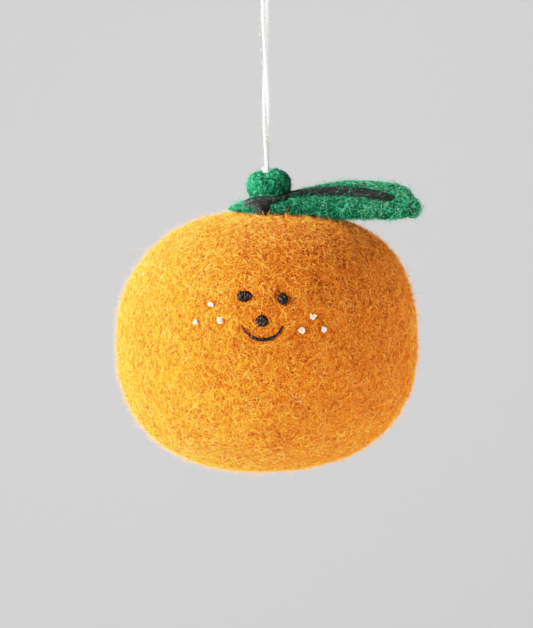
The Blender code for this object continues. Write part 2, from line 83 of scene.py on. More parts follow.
# Their strands of floss from hole to hole, in millimetres: across and up from the middle at the first hole, the
# same at the second, and the lift
SATIN_STRANDS = {
    "eye_left": (
        (-1.26, 0.52, -1.28, -0.56, 0.00),
        (-0.82, 1.06, -0.86, -1.06, 0.09),
        (-0.27, 1.16, -0.30, -1.30, 0.04),
        (0.28, 1.26, 0.27, -1.22, 0.12),
        (0.82, 1.16, 0.80, -1.10, 0.03),
        (1.24, 0.62, 1.26, -0.58, 0.04),
        (-0.60, 0.40, -0.34, -0.90, 0.26),
    ),
    "eye_right": (
        (-1.14, -0.24, -0.20, 1.14, 0.00),
        (-0.84, -0.64, 0.24, 1.32, 0.08),
        (-0.46, -0.98, 0.64, 1.22, 0.02),
        (-0.08, -1.30, 0.94, 0.86, 0.07),
        (0.28, -1.36, 1.04, 0.22, 0.00),
        (-0.84, 0.34, 0.30, -1.04, 0.20),
        (-0.16, 1.10, 0.78, -0.46, 0.24),
    ),
    "nose": (
        (-1.04, 0.52, -1.16, -0.52, 0.00),
        (-0.64, 1.00, -0.70, -1.12, 0.09),
        (-0.16, 1.30, -0.16, -1.30, 0.04),
        (0.34, 1.22, 0.36, -1.32, 0.12),
        (0.80, 0.88, 0.84, -1.04, 0.03),
        (1.14, 0.34, 1.18, -0.52, 0.00),
        (-0.44, -0.62, 0.92, -0.30, 0.24),
    ),
}
# Loose ends of floss beside them, in millimetres: across and up from the middle, direction in degrees, length
# and thickness
LOOSE_ENDS = {
    "eye_left": (),
    "eye_right": (
        (1.96, -0.36, -10.0, 0.62, 0.22),
        (1.02, 0.60, 18.0, 0.80, 0.07),
        (1.10, 0.20, 2.0, 0.85, 0.06),
        (1.06, -0.60, -26.0, 0.75, 0.06),
        (0.60, 1.16, 52.0, 0.65, 0.06),
        (0.14, 1.40, 96.0, 0.55, 0.06),
    ),
    "nose": (
        (-0.38, 1.20, 104.0, 0.66, 0.12),
        (0.02, 1.30, 84.0, 0.60, 0.10),
        (0.24, -1.44, -86.0, 0.70, 0.16),
        (0.86, 0.86, 40.0, 0.50, 0.06),
        (-0.96, 0.72, 150.0, 0.45, 0.06),
    ),
}
KNOT_STITCHES = (
    (-0.01115, -0.07330),
    (-0.01427, -0.07711),
    (-0.00921, -0.07649),
    (0.01020, -0.07572),
    (0.00782, -0.07850),
    (0.01245, -0.07853),
)
# Each knot's turns of thread, as the strands above
KNOT_STRANDS = (
    ((-0.52, -0.16, 0.24, 0.34, 0.1), (-0.20, 0.22, 0.52, 0.10, 0.2), (0.20, 0.30, 0.58, -0.40, 0.0)),
    ((-0.04, 0.56, -0.46, -0.42, 0.1), (0.02, 0.52, 0.50, -0.30, 0.1), (-0.24, 0.06, 0.26, -0.30, 0.2)),
    ((-0.54, 0.38, 0.52, 0.48, 0.0), (-0.60, -0.06, 0.60, 0.04, 0.2), (-0.42, -0.48, 0.56, -0.46, 0.0)),
    ((-0.50, 0.52, -0.44, -0.42, 0.1), (0.02, 0.24, 0.64, 0.06, 0.2), (0.46, 0.20, -0.16, -0.62, 0.0)),
    ((-0.68, -0.06, 0.16, 0.54, 0.0), (-0.54, -0.16, 0.34, -0.66, 0.1), (0.30, 0.54, 0.42, -0.50, 0.2)),
    ((-0.30, 0.56, -0.36, -0.30, 0.1), (-0.10, 0.58, 0.38, -0.22, 0.2), (0.22, 0.26, 0.02, -0.52, 0.0)),
)
KNOT_STITCH_RADIUS = 0.00092
MILLIMETRE = 0.001
MOUTH_POINTS = (
    (-0.00483, -0.07746),
    (-0.00355, -0.07914),
    (-0.00184, -0.08019),
    (-0.00013, -0.08039),
    (0.00157, -0.08004),
    (0.00286, -0.07913),
    (0.00389, -0.07754),
)
# Where along the smile the needle goes down, as shares of its length
MOUTH_HOLES = (0.0, 0.27, 0.43, 0.58, 0.77, 1.0)
# How thick each of its stitches is against the thread
MOUTH_FULLNESS = (0.58, 0.90, 1.12, 1.04, 0.92)

# The doubled string: two legs that twist round each other below a small open loop
LEG_OFFSET = 0.00042
TWIST_PITCH = 0.044
TWIST_TOP = -0.012
STRING_FOOT = Vector((0.00056, 0.0, -0.0472))
LEG_POINTS = 16
LOOP_POINTS = 25
LOOP_HALF = (
    (0.00042, -0.0120),
    (0.00046, -0.0100),
    (0.00090, -0.0080),
    (0.00155, -0.0060),
    (0.00208, -0.0041),
    (0.00224, -0.0024),
    (0.00190, -0.0008),
    (0.00105, 0.00012),
    (0.0, 0.00038),
)

# The ball's layers of fibre from the inside out: share of the fibres, thickness against the usual, lift off the
# felt, tone from deep to light, how much the tone varies, and points along each fibre
# The inner layers' deeper tones are painted shade in the gaps between the top fibres, and the outer layers'
# lighter tones painted light on them; the spread within a layer is the wool's own.
BALL_LAYERS = (
    (0.24, 1.20, 0.00006, 0.22, 0.18, 4),
    (0.24, 1.10, 0.00014, 0.36, 0.22, 4),
    (0.18, 1.00, 0.00024, 0.50, 0.26, 5),
    (0.18, 1.00, 0.00036, 0.64, 0.26, 5),
    (0.16, 0.95, 0.00048, 0.76, 0.22, 5),
)
LAYER_CURL = 0.30
LAYER_WANDER = 0.30

# Kinds of fibre matted on a felt: thickness, length, lift off the felt, curl, wander and points along each
BALL_LOOPS = (0.000055, 0.0040, 0.0008, 0.34, 0.28, 8)
LEAF_FIBRES = (0.000085, 0.0021, 0.00045, 0.75, 0.45, 7)
LEAF_CURLS = (0.000052, 0.0042, 0.0008, 0.45, 0.25, 10)
MIDRIB_FIBRES = (0.0001, 0.0034, 0.00022, 0.10, 0.16, 6)
STEM_FIBRES = (0.000085, 0.0019, 0.00045, 0.85, 0.45, 7)
# Where along the leaf its pale curls begin, and over what length they grow to their full number
CURLS_START = 0.004
CURLS_RUN = 0.030

# Kinds of loose hair: length, thickness against a hair's, rise off the felt, curl and points along each
BALL_FLUFF = (0.00125, 1.75, 2.0, 0.5, 3)
BALL_CURLS = (0.0020, 1.2, 1.2, 0.4, 5)
BALL_STRAY_HAIRS = (0.0055, 1.0, 0.6, 0.45, 9)
LEAF_FLUFF = (0.0017, 1.0, 1.2, 0.45, 5)
MIDRIB_HAIRS = (0.0016, 1.4, 0.35, 0.45, 5)
STEM_FLUFF = (0.0013, 1.0, 1.2, 0.45, 5)

# Lumps of hand-felted wool: their size and depth
BALL_LUMPS = ((0.0055, 0.00028), (0.0021, 0.00012))
LEAF_LUMPS = ((0.0022, 0.00030), (0.0008, 0.00022))
STEM_LUMPS = ((0.0018, 0.00025), (0.0008, 0.00022))

# Lines of fibre in a felt's material: their scale, and where its noise is read
MAT_LINES = ((760.0, (0.71, 0.35, 0.09)), (940.0, (0.22, 0.83, 0.57)), (1250.0, (0.47, 0.11, 0.93)))
# Each wool's tones: a place from deep to light, and a colour or the wool setting that holds it
ORANGE_TONES = (
    (0.0, "orange_deep"),
    (0.38, "orange"),
    (0.80, "orange_light"),
    (0.985, "orange_light"),
    (1.0, (1.0, 0.66, 0.28)),
)
GREEN_TONES = ((0.0, "green_deep"), (0.45, "green"), (0.90, "green_light"), (0.97, "green_light"), (1.0, "pale"))
BLACK_TONES = ((0.0, "black"), (0.6, "black"), (1.0, "black_light"))

# The photograph's frame and where its camera stands
IMAGE_WIDTH = 533
IMAGE_HEIGHT = 628
METRES_PER_PIXEL = 0.0002167
CAMERA_TARGET = Vector((0.00046, 0.0, -0.0778))
CAMERA_RISE = math.radians(5.0)
CAMERA_DISTANCE = 0.9
SENSOR = 36.0

# The paper's floor, its sweep up and the wall behind
FLOOR_LEVEL = -0.62
FLOOR_FRONT = -1.6
SWEEP_START = 1.45
SWEEP_RADIUS = 0.2
WALL_TOP = 1.6
HALF_WIDTH = 2.2

# The lights round the ball: azimuth and elevation in degrees, distance, width and height, and watts
LIGHTS = {
    "key_softbox": (-77.0, 5.0, 0.90, (0.95, 0.60), 39.0),
    "side_softbox": (-90.0, 25.0, 0.85, (0.50, 0.50), 12.5),
    "back_softbox": (-135.0, 30.0, 0.85, (0.50, 0.50), 10.5),
    "front_softbox": (-40.0, 20.0, 1.00, (0.70, 0.70), 11.2),
    "floor_bounce": (0.0, -88.0, 0.33, (0.70, 0.70), 2.2),
    "right_bounce": (80.0, -32.0, 0.45, (0.60, 0.40), 5.2),
}
WALL_LIGHT_PLACE = (1.2, 0.55, 0.30)
WALL_LIGHT_TARGET = (0.35, SWEEP_START + SWEEP_RADIUS, -0.15)
WALL_LIGHT_SIZE = (0.5, 0.9)
WALL_LIGHT_WATTS = 6.2

# How bright a tone of the scene shows, up to the brightest that still shows
BRIGHTEST = 2.5
TONES = ((0.25, 0.25), (0.50, 0.50), (0.70, 0.635), (1.0, 0.77), (1.2, 0.83), (1.6, 0.90))
WHITEST = 0.97


def colour(label, about, default):
    return FloatVectorProperty(
        name=label, description=about, subtype="COLOR", size=3, min=0.0, max=1.0, default=default
    )


def distance(label, about, default):
    return FloatProperty(
        name=label, description=about, unit="LENGTH", subtype="DISTANCE", min=0.0, default=default
    )


def count(label, about, default):
    return IntProperty(name=label, description=about, min=0, default=default)


def level(label, about, default):
    return FloatProperty(name=label, description=about, min=0.0, default=default)


class WoolSettings(bpy.types.PropertyGroup):
    # Deep orange stands for the shade in the felt's hollows and on the inner fibres: painted shade, besides the
    # wool's own deeper fibres.
    orange_deep: colour("Deep orange", "Orange wool in the hollows of the felt", (0.25, 0.048, 0.0018))
    orange: colour("Orange", "The ball's wool", (0.84, 0.207, 0.0064))
    orange_light: colour("Light orange", "The ball's lightest fibres", (1.0, 0.39, 0.039))
    # Deep green stands for the shade in the felt's hollows and among the fibres: painted shade, besides the
    # wool's own deeper fibres.
    green_deep: colour("Deep green", "Green wool in the hollows of the felt", (0.0002, 0.024, 0.008))
    green: colour("Green", "The leaf's and the stem ball's wool", (0.0011, 0.182, 0.071))
    green_light: colour("Light green", "The lightest green fibres", (0.072, 0.560, 0.300))
    pale: colour("Pale hairs", "The undyed hairs among the coloured wool", (0.46, 0.52, 0.34))
    black: colour("Black wool", "The leaf's midrib", (0.010, 0.010, 0.010))
    black_light: colour("Grey black", "The midrib's lightest fibres", (0.085, 0.082, 0.080))
    body_fibres: count("Ball fibres", "Fibres matted on the ball", 60000)
    body_fluff: count("Ball fluff", "Short loose hairs all over the ball", 30000)
    body_curls: count("Ball curls", "Longer loose hairs all over the ball", 5200)
    body_loops: count("Ball loops", "Long hairs that curl over the ball's fibres", 2000)
    body_stray_hairs: count("Ball stray hairs", "Long hairs that stand far off the ball", 170)
    leaf_fibres: count("Leaf fibres", "Fibres matted on the leaf", 6400)
    leaf_fluff: count("Leaf fluff", "Loose hairs all over the leaf", 5200)
    leaf_curls: count("Leaf curls", "Pale curly hairs, most of them along the leaf's front edge and tip", 1520)
    stem_fibres: count("Stem ball fibres", "Fibres matted on the stem ball", 2200)
    stem_fluff: count("Stem ball fluff", "Loose hairs all over the stem ball", 1300)
    midrib_fibres: count("Midrib fibres", "Fibres that run along the midrib", 2600)
    midrib_hairs: count("Midrib hairs", "Green hairs strayed over the midrib", 380)
    fibre_thickness: distance("Fibre thickness", "Width of one matted clump of hairs", 0.000082)
    hair_thickness: distance("Hair thickness", "Width of one hair that stands off the felt", 0.000036)
    fibre_length: distance("Fibre length", "Usual length of the part of a fibre that shows", 0.0020)


class StitchSettings(bpy.types.PropertyGroup):
    # The black thread's brown tint is painted bounce light from the orange wool.
    black: colour("Black thread", "Thread of the eyes, nose and mouth", (0.0036, 0.0023, 0.0015))
    # The white thread's warm cream is partly its own colour and partly painted bounce from the orange wool.
    white: colour("White thread", "Thread of the knots on the cheeks", (0.93, 0.80, 0.66))
    floss: distance("Floss", "Thickness of one strand of the eyes and nose", 0.00054)
    mouth_thread: distance("Mouth thread", "Thickness of one strand of the mouth", 0.00046)
    knot_thread: distance("Knot thread", "Thickness of the white thread", 0.00050)


class StringSettings(bpy.types.PropertyGroup):
    cotton: colour("Cotton", "The cotton string", (0.90, 0.875, 0.83))
    diameter: distance("Diameter", "Thickness of one leg of the string", 0.00076)
    ply_pitch: distance("Ply pitch", "Length of one turn of the string's plies", 0.0030)


class StudioSettings(bpy.types.PropertyGroup):
    paper: colour("Paper", "The seamless paper of floor and backdrop", (0.38, 0.38, 0.38))
    sky: level("Room light", "Brightness of the room all round", 0.09)
    lights: level("Lights", "Power of all the lights against the usual", 1.0)


def pick(piece):
    bpy.ops.object.select_all(action="DESELECT")
    piece.select_set(True)
    bpy.context.view_layer.objects.active = piece


def named(name):
    """The object that an operator has just added, under its own name."""
    piece = bpy.context.object
    piece.name = name
    piece.data.name = name
    return piece


def new_piece(name, mesh):
    piece = bpy.data.objects.new(name, mesh)
    bpy.context.scene.collection.objects.link(piece)
    return piece


def shaped(piece, kind, **values):
    """Adds a modifier with these values and applies it."""
    pick(piece)
    modifier = piece.modifiers.new(kind.lower(), kind)
    for name, value in values.items():
        setattr(modifier, name, value)
    bpy.ops.object.modifier_apply(modifier=modifier.name)
    return piece


def dressed(piece, material, slot, *nodes):
    """Gives a finished piece its material and smooth shading, and ties it to the frame."""
    piece.data.materials.clear()
    piece.data.materials.append(material)
    piece.data.shade_smooth()
    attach(piece, BODY)
    if nodes:
        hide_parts(*nodes)
    return piece


def solid_copy(node, name):
    """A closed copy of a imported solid, its loose triangles merged."""
    piece = new_piece(name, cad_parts[node].data.copy())
    pick(piece)
    bpy.ops.object.mode_set(mode="EDIT")
    bpy.ops.mesh.select_all(action="SELECT")
    bpy.ops.mesh.remove_doubles(threshold=0.000001)
    bpy.ops.object.mode_set(mode="OBJECT")
    return piece


def smooth_through(rows, t):
    """The row at t, 0 to 1, on a smooth curve through the rows."""
    columns = min(3, len(rows[0]))
    knots = [0.0]
    for before, after in zip(rows, rows[1:]):
        knots.append(knots[-1] + math.dist(before[:columns], after[:columns]))
    place = min(max(t, 0.0), 1.0) * knots[-1]
    index = 0
    while index < len(rows) - 2 and place > knots[index + 1]:
        index += 1

    def slope(i, column):
        low = max(i - 1, 0)
        high = min(i + 1, len(rows) - 1)
        return (rows[high][column] - rows[low][column]) / (knots[high] - knots[low])

    width = knots[index + 1] - knots[index]
    u = (place - knots[index]) / width
    result = []
    for column in range(len(rows[0])):
        start = rows[index][column]
        end = rows[index + 1][column]
        leave = slope(index, column) * width
        arrive = slope(index + 1, column) * width
        result.append(
            (2 * u**3 - 3 * u**2 + 1) * start
            + (u**3 - 2 * u**2 + u) * leave
            + (3 * u**2 - 2 * u**3) * end
            + (u**3 - u**2) * arrive
        )
    return result


def mouth_spot(t):
    return smooth_through(MOUTH_POINTS, t)


def unit(rows):
    length = np.linalg.norm(rows, axis=-1, keepdims=True)
    return rows / np.maximum(length, 1e-12)


def square_to(axes, rows):
    """The rows' directions, turned square to the axes."""
    return unit(rows - axes * (rows * axes).sum(-1)[..., None])


def lengths_along(points):
    """How far along a route each of its points lies."""
    return np.concatenate([[0.0], np.cumsum(np.linalg.norm(np.diff(points, axis=0), axis=1))])


def rows_of(items, field, kind=float):
    """A field of three values of each item, as rows."""
    values = np.empty(len(items) * 3, kind)
    items.foreach_get(field, values)
    return values.reshape(-1, 3)


class Skin:
    """A piece's surface, for laying fibres and stitches on it."""

    def __init__(self, piece):
        mesh = piece.data
        mesh.calc_loop_triangles()
        self.points = rows_of(mesh.vertices, "co")
        self.triangles = rows_of(mesh.loop_triangles, "vertices", int)
        self.tree = BVHTree.FromPolygons(self.points.tolist(), self.triangles.tolist())

    def scatter(self, number, rng):
        """Random points, even over the area, and the outward direction at each."""
        a, b, c = (self.points[self.triangles[:, corner]] for corner in range(3))
        across = np.cross(b - a, c - a)
        area = np.linalg.norm(across, axis=1)
        chosen = rng.choice(len(area), number, p=area / area.sum())
        u = np.sqrt(rng.random((number, 1)))
        v = rng.random((number, 1))
        spots = a[chosen] * (1 - u) + b[chosen] * u * (1 - v) + c[chosen] * u * v
        return spots, unit(across[chosen])

    def snap(self, spots):
        """The nearest points on the surface, and the outward direction at each."""
        on_skin = np.empty_like(spots)
        outward = np.empty_like(spots)
        for index, spot in enumerate(spots):
            place, normal, _, _ = self.tree.find_nearest(spot)
            on_skin[index] = place
            outward[index] = normal
        return on_skin, outward

    def front(self, x, z):
        """The point of the surface that shows at x and z from the front, and its outward direction."""
        place, normal, _, _ = self.tree.ray_cast(Vector((x, -0.1, z)), Vector((0.0, 1.0, 0.0)))
        return place, normal


def turned_about(directions, axes, angles):
    """Directions turned about unit axes that they are square to."""
    return directions * np.cos(angles)[:, None] + np.cross(axes, directions) * np.sin(angles)[:, None]


def laid_lines(skin, number, length, joints, curl, wander, rng, heading=None):
    """Curly lines that follow the skin: points and outward directions, one row for each line."""
    spots, outward = skin.scatter(number, rng)
    if heading is None:
        heading = rng.normal(size=(number, 3))
    else:
        heading = heading(spots) + rng.normal(size=(number, 3)) * 0.25
    heading = square_to(outward, heading)
    steps = length * rng.uniform(0.55, 1.45, number) / (joints - 1)
    bend = rng.normal(0.0, curl, number)
    lines = [spots]
    ups = [outward]
    for _ in range(joints - 1):
        heading = turned_about(heading, outward, bend + rng.normal(0.0, wander, number))
        spots, outward = skin.snap(spots + heading * steps[:, None])
        heading = square_to(outward, heading)
        lines.append(spots)
        ups.append(outward)
    return np.stack(lines, 1), np.stack(ups, 1)


def free_lines(spots, directions, length, joints, curl, rng):
    """Loose hairs that leave their spots in these directions and curl on their way."""
    number = len(spots)
    steps = length * rng.uniform(0.4, 1.6, number) / (joints - 1)
    axes = unit(rng.normal(size=(number, 3)))
    bend = rng.normal(0.0, curl, number)
    lines = [spots]
    for _ in range(joints - 1):
        square = unit(np.cross(axes, directions))
        directions = unit(directions + square * bend[:, None] + rng.normal(0.0, 0.12, (number, 3)))
        spots = spots + directions * steps[:, None]
        lines.append(spots)
    return np.stack(lines, 1)


def mesh_of(name, points, triangles, quads, uv):
    """A mesh from arrays of points, triangles and quads, with a UV pair for each point."""
    mesh = bpy.data.meshes.new(name)
    corners = np.concatenate([triangles.ravel(), quads.ravel()]).astype(np.int32)
    sizes = np.concatenate([np.full(len(triangles), 3), np.full(len(quads), 4)])
    starts = np.concatenate([[0], np.cumsum(sizes)[:-1]]).astype(np.int32)
    mesh.vertices.add(len(points))
    mesh.vertices.foreach_set("co", points.astype(np.float32).ravel())
    mesh.loops.add(len(corners))
    mesh.loops.foreach_set("vertex_index", corners)
    mesh.polygons.add(len(sizes))
    mesh.polygons.foreach_set("loop_start", starts)
    layer = mesh.uv_layers.new(name=HAIR_UV)
    layer.uv.foreach_set("vector", uv[corners].astype(np.float32).ravel())
    mesh.update(calc_edges=True)
    mesh.validate()
    return mesh


def strands(lines, ups, radius, tones, sides=3, taper=0.45):
    """Closed tapering strands along the lines: points, triangles, quads and UVs of all of them together."""
    number, joints, _ = lines.shape
    rings = joints - 2
    ahead = unit(lines[:, 2:] - lines[:, :-2])
    up = square_to(ahead, ups[:, 1:-1])
    side = np.cross(ahead, up)
    along = np.linspace(-1.0, 1.0, joints)[1:-1]
    thickness = radius[:, None] * (1.0 - taper * along**2)
    angles = (np.arange(sides) * 2.0 * math.pi / sides + math.pi / 2)[None, None, :, None]
    around = up[:, :, None] * np.cos(angles) + side[:, :, None] * np.sin(angles)
    ring_points = lines[:, 1:-1, None] + around * thickness[..., None, None]
    per_strand = rings * sides + 2
    points = np.concatenate([lines[:, :1], ring_points.reshape(number, -1, 3), lines[:, -1:]], 1)
    first = np.arange(number)[:, None, None] * per_strand
    corner = np.arange(sides)
    following = (corner + 1) % sides
    start_fan = np.stack([np.zeros(sides, int), 1 + following, 1 + corner], 1)
    last_ring = 1 + (rings - 1) * sides
    end_fan = np.stack([last_ring + corner, last_ring + following, np.full(sides, per_strand - 1)], 1)
    low = (1 + np.arange(rings - 1) * sides)[:, None] + corner
    low_next = (1 + np.arange(rings - 1) * sides)[:, None] + following
    wall = np.stack([low, low_next, low_next + sides, low + sides], -1).reshape(-1, 4)
    triangles = (first + np.concatenate([start_fan, end_fan])[None]).reshape(-1, 3)
    quads = (first + wall[None]).reshape(-1, 4)
    spread = np.concatenate([[0.0], np.tile(np.linspace(-1.0, 1.0, sides), rings), [0.0]]) * TONE_WIDTH
    run = np.concatenate([[0.0], np.repeat((along + 1.0) / 2.0, sides), [1.0]])
    tone = np.clip(tones[:, None] * 0.98 + 0.01 + spread[None], 0.0, 1.0)
    uv = np.stack([tone, np.broadcast_to(run, tone.shape)], -1).reshape(-1, 2)
    return points.reshape(-1, 3), triangles, quads, uv


def fibres_on(name, laid, tones, material, slot):
    """Makes a dressed piece of laid fibres, each in its tone."""
    lines, ups, radius = laid
    piece = new_piece(name, mesh_of(name, *strands(lines, ups, radius, tones)))
    return dressed(piece, material, slot)


def kept(laid, keep):
    """The laid fibres that are to be kept."""
    return tuple(rows[keep] for rows in laid)


def set_inputs(node, **values):
    for name, value in values.items():
        node.inputs[name.replace("_", " ")].default_value = value


def new_material(name):
    """A material with its shader, its nodes and its links."""
    material = bpy.data.materials.new(name)
    material.use_nodes = True
    tree = material.node_tree
    shader = tree.nodes["Principled BSDF"]
    return material, tree, shader


def tinted(tree, shader, factor, stops):
    """Colours a shader by a factor, through stops of a place and a colour or a wool setting's name."""
    ramp = tree.nodes.new("ShaderNodeValToRGB")
    elements = ramp.color_ramp.elements
    while len(elements) < len(stops):
        elements.new(1.0)
    for element, (position, shade) in zip(elements, stops):
        element.position = position
        element.color = (*(getattr(wool(), shade) if isinstance(shade, str) else shade), 1.0)
    tree.links.new(factor, ramp.inputs["Fac"])
    tree.links.new(ramp.outputs["Color"], shader.inputs["Base Color"])


def bumped(tree, shader, height, strength, distance):
    bump = tree.nodes.new("ShaderNodeBump")
    set_inputs(bump, Strength=strength, Distance=distance)
    tree.links.new(height, bump.inputs["Height"])
    tree.links.new(bump.outputs["Normal"], shader.inputs["Normal"])


def noise_of(tree, coordinates, scale, detail, offset):
    shift = tree.nodes.new("ShaderNodeMapping")
    shift.inputs["Location"].default_value = offset
    tree.links.new(coordinates, shift.inputs["Vector"])
    texture = tree.nodes.new("ShaderNodeTexNoise")
    set_inputs(texture, Scale=scale, Detail=detail, Roughness=0.55, Distortion=0.6)
    tree.links.new(shift.outputs["Vector"], texture.inputs["Vector"])
    return texture.outputs["Fac"]


def math_of(tree, operation, first, second):
    node = tree.nodes.new("ShaderNodeMath")
    node.operation = operation
    for socket, value in zip(node.inputs, (first, second)):
        if isinstance(value, (int, float)):
            socket.default_value = value
        else:
            tree.links.new(value, socket)
    return node.outputs[0]


def strand_lines(tree, coordinates, scale, offset, width):
    """Thin curly lines, 1 on a line and 0 off it, where a noise passes its middle value."""
    level = noise_of(tree, coordinates, scale, 1.0, offset)
    away = math_of(tree, "ABSOLUTE", math_of(tree, "SUBTRACT", level, 0.5), 0.0)
    fade = tree.nodes.new("ShaderNodeMapRange")
    set_inputs(fade, From_Min=0.0, From_Max=width, To_Min=1.0, To_Max=0.0)
    tree.links.new(away, fade.inputs["Value"])
    return fade.outputs["Result"]


def felt_material(name, deep, middle, light, sheen_tint):
    """Matted wool: crossing curly lines of light fibre over darker wool, in patches; the darker wool in the
    hollows between the lines is painted shade.
    """
    material, tree, shader = new_material(name)
    place = tree.nodes.new("ShaderNodeTexCoord").outputs["Object"]
    mat = strand_lines(tree, place, 620.0, (0.13, 0.27, 0.41), 0.055)
    for scale, offset in MAT_LINES:
        mat = math_of(tree, "MAXIMUM", mat, strand_lines(tree, place, scale, offset, 0.06))
    patches = math_of(tree, "MULTIPLY", noise_of(tree, place, 140.0, 3.0, (0.0, 0.0, 0.0)), 0.55)
    height = math_of(tree, "ADD", math_of(tree, "MULTIPLY", mat, 0.62), patches)
    tinted(tree, shader, height, ((0.12, deep), (0.48, middle), (0.95, light)))
    bumped(tree, shader, mat, 0.75, 0.00012)
    set_inputs(shader, Roughness=0.92, Sheen_Weight=0.08, Sheen_Roughness=0.5, Specular_IOR_Level=0.1)
    shader.inputs["Sheen Tint"].default_value = (*sheen_tint, 1.0)
    return material


def hair_material(name, stops, sheen=0.03, specular=0.08):
    """Loose fibres, each in its own tone, which its UV map holds."""
    material, tree, shader = new_material(name)
    uv = tree.nodes.new("ShaderNodeUVMap")
    uv.uv_map = HAIR_UV
    split = tree.nodes.new("ShaderNodeSeparateXYZ")
    tree.links.new(uv.outputs["UV"], split.inputs["Vector"])
    tinted(tree, shader, split.outputs["X"], stops)
    set_inputs(shader, Roughness=0.8, Sheen_Weight=sheen, Sheen_Roughness=0.5, Specular_IOR_Level=specular)
    return material


def thread_material(name, dark, light, scale, roughness, sheen, span=(0.36, 0.66), specular=0.12):
    """Spun thread: fine lengthwise streaks from a stretched noise; on the black floss the light streaks are
    painted highlights, on the white floss the dark streaks painted warm shade.
    """
    material, tree, shader = new_material(name)
    place = tree.nodes.new("ShaderNodeTexCoord").outputs["Object"]
    streaks = noise_of(tree, place, scale, 4.0, (0.4, 0.1, 0.8))
    tinted(tree, shader, streaks, ((span[0], dark), (span[1], light)))
    bumped(tree, shader, streaks, 0.5, 0.00004)
    set_inputs(shader, Roughness=roughness, Sheen_Weight=sheen, Sheen_Roughness=0.4, Specular_IOR_Level=specular)
    return material


def black_floss(name):
    # The floss's light streaks are painted highlights, warmed by painted bounce from the orange wool.
    black = tuple(bpy.context.scene.felt_stitches.black)
    return thread_material(name, black, (0.22, 0.150, 0.112), 3600.0, 0.42, 0.0, (0.54, 0.70), 0.10)


def wool():
    return bpy.context.scene.felt_wool


def ball_reach(direction):
    """How far the ball's wool reaches from its centre along a unit direction."""
    x = math.cos(BALL_LEAN) * direction.x + math.sin(BALL_LEAN) * direction.z
    z = math.cos(BALL_LEAN) * direction.z - math.sin(BALL_LEAN) * direction.x
    flat_part = (math.hypot(x, direction.y) / BALL_RADIUS) ** BALL_SQUARENESS
    tall_part = (abs(z) / BALL_HALF_HEIGHT) ** BALL_SQUARENESS
    reach = (flat_part + tall_part) ** (-1.0 / BALL_SQUARENESS)
    fullness = 1.0
    for angle, amount in SHOULDERS:
        shoulder = Vector((math.cos(angle), 0.0, math.sin(angle)))
        away = math.acos(max(-1.0, min(1.0, shoulder.dot(direction))))
        fullness += amount * math.exp(-((away / SHOULDER_SPREAD) ** 2))
    return reach * fullness


def stitch_dent(point):
    """How deep the stitches pull the wool in at a point on the ball's front."""
    if point.y > BALL_CENTRE.y:
        return 0.0
    dent = 0.0
    for x, z, half_width, half_height in SATIN_STITCHES.values():
        away = math.hypot(point.x - x, point.z - z) / (half_width + half_height)
        dent += 0.00022 * math.exp(-(away**4))
    for x, z in KNOT_STITCHES:
        away = math.hypot(point.x - x, point.z - z) / (KNOT_STITCH_RADIUS * 1.6)
        dent += 0.00022 * math.exp(-(away**2))
    for index in range(9):
        x, z = mouth_spot(index / 8)
        away = math.hypot(point.x - x, point.z - z) / 0.0009
        dent += 0.00006 * math.exp(-(away**2))
    return dent


def lumpy(piece, lumps):
    """Gives a felted piece the soft lumps of hand-felted wool."""
    for size, depth in lumps:
        clouds = bpy.data.textures.new(piece.name + "_lumps", "CLOUDS")
        clouds.noise_scale = size
        clouds.noise_depth = 1
        shaped(piece, "DISPLACE", texture=clouds, strength=depth, mid_level=0.5, texture_coords="LOCAL")
        bpy.data.textures.remove(clouds)
    return piece


def added_sphere(name, segments, rings):
    """A sphere of radius 1 with its faces in a set order, which the tool varies from run to run."""
    bpy.ops.object.select_all(action="DESELECT")
    bpy.ops.mesh.primitive_uv_sphere_add(segments=segments, ring_count=rings, radius=1.0)
    sphere = named(name)
    mesh = sphere.data
    points = [vertex.co.copy() for vertex in mesh.vertices]
    faces = []
    for face in mesh.polygons:
        corners = list(face.vertices)
        first = corners.index(min(corners))
        faces.append(corners[first:] + corners[:first])
    mesh.clear_geometry()
    mesh.from_pydata(points, [], sorted(faces))
    return sphere


def make_ball():
    ball = added_sphere("body_felt", 256, 160)
    for vertex in ball.data.vertices:
        direction = vertex.co.normalized()
        point = BALL_CENTRE + direction * ball_reach(direction)
        point -= direction * stitch_dent(point)
        vertex.co = (point.x, point.y, max(point.z, FOOT_LEVEL))
    return lumpy(ball, BALL_LUMPS)


def stitched_over(lines):
    """Which lines cross a stitch, and would hide it."""
    x = lines[..., 0]
    z = lines[..., 2]
    front = lines[..., 1] < BALL_CENTRE.y
    covered = np.zeros(lines.shape[:2], bool)
    for centre_x, centre_z, half_width, half_height in SATIN_STITCHES.values():
        covered |= np.hypot((x - centre_x) / half_width, (z - centre_z) / half_height) < 0.97
    for centre_x, centre_z in KNOT_STITCHES:
        covered |= np.hypot(x - centre_x, z - centre_z) < KNOT_STITCH_RADIUS * 0.9
    for index in range(40):
        mouth_x, mouth_z = mouth_spot(index / 39)
        covered |= np.hypot(x - mouth_x, z - mouth_z) < 0.00044
    return (covered & front).any(1)


def under_leaf(lines):
    """Which lines rise into the leaf or the stem ball."""
    low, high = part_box("felt_leaf")
    inside = (lines[..., 0] > low.x) & (lines[..., 0] < high.x)
    inside &= (lines[..., 1] > low.y) & (lines[..., 1] < high.y)
    return (inside & (lines[..., 2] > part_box("felt_body")[1].z + 0.0005)).any(1)


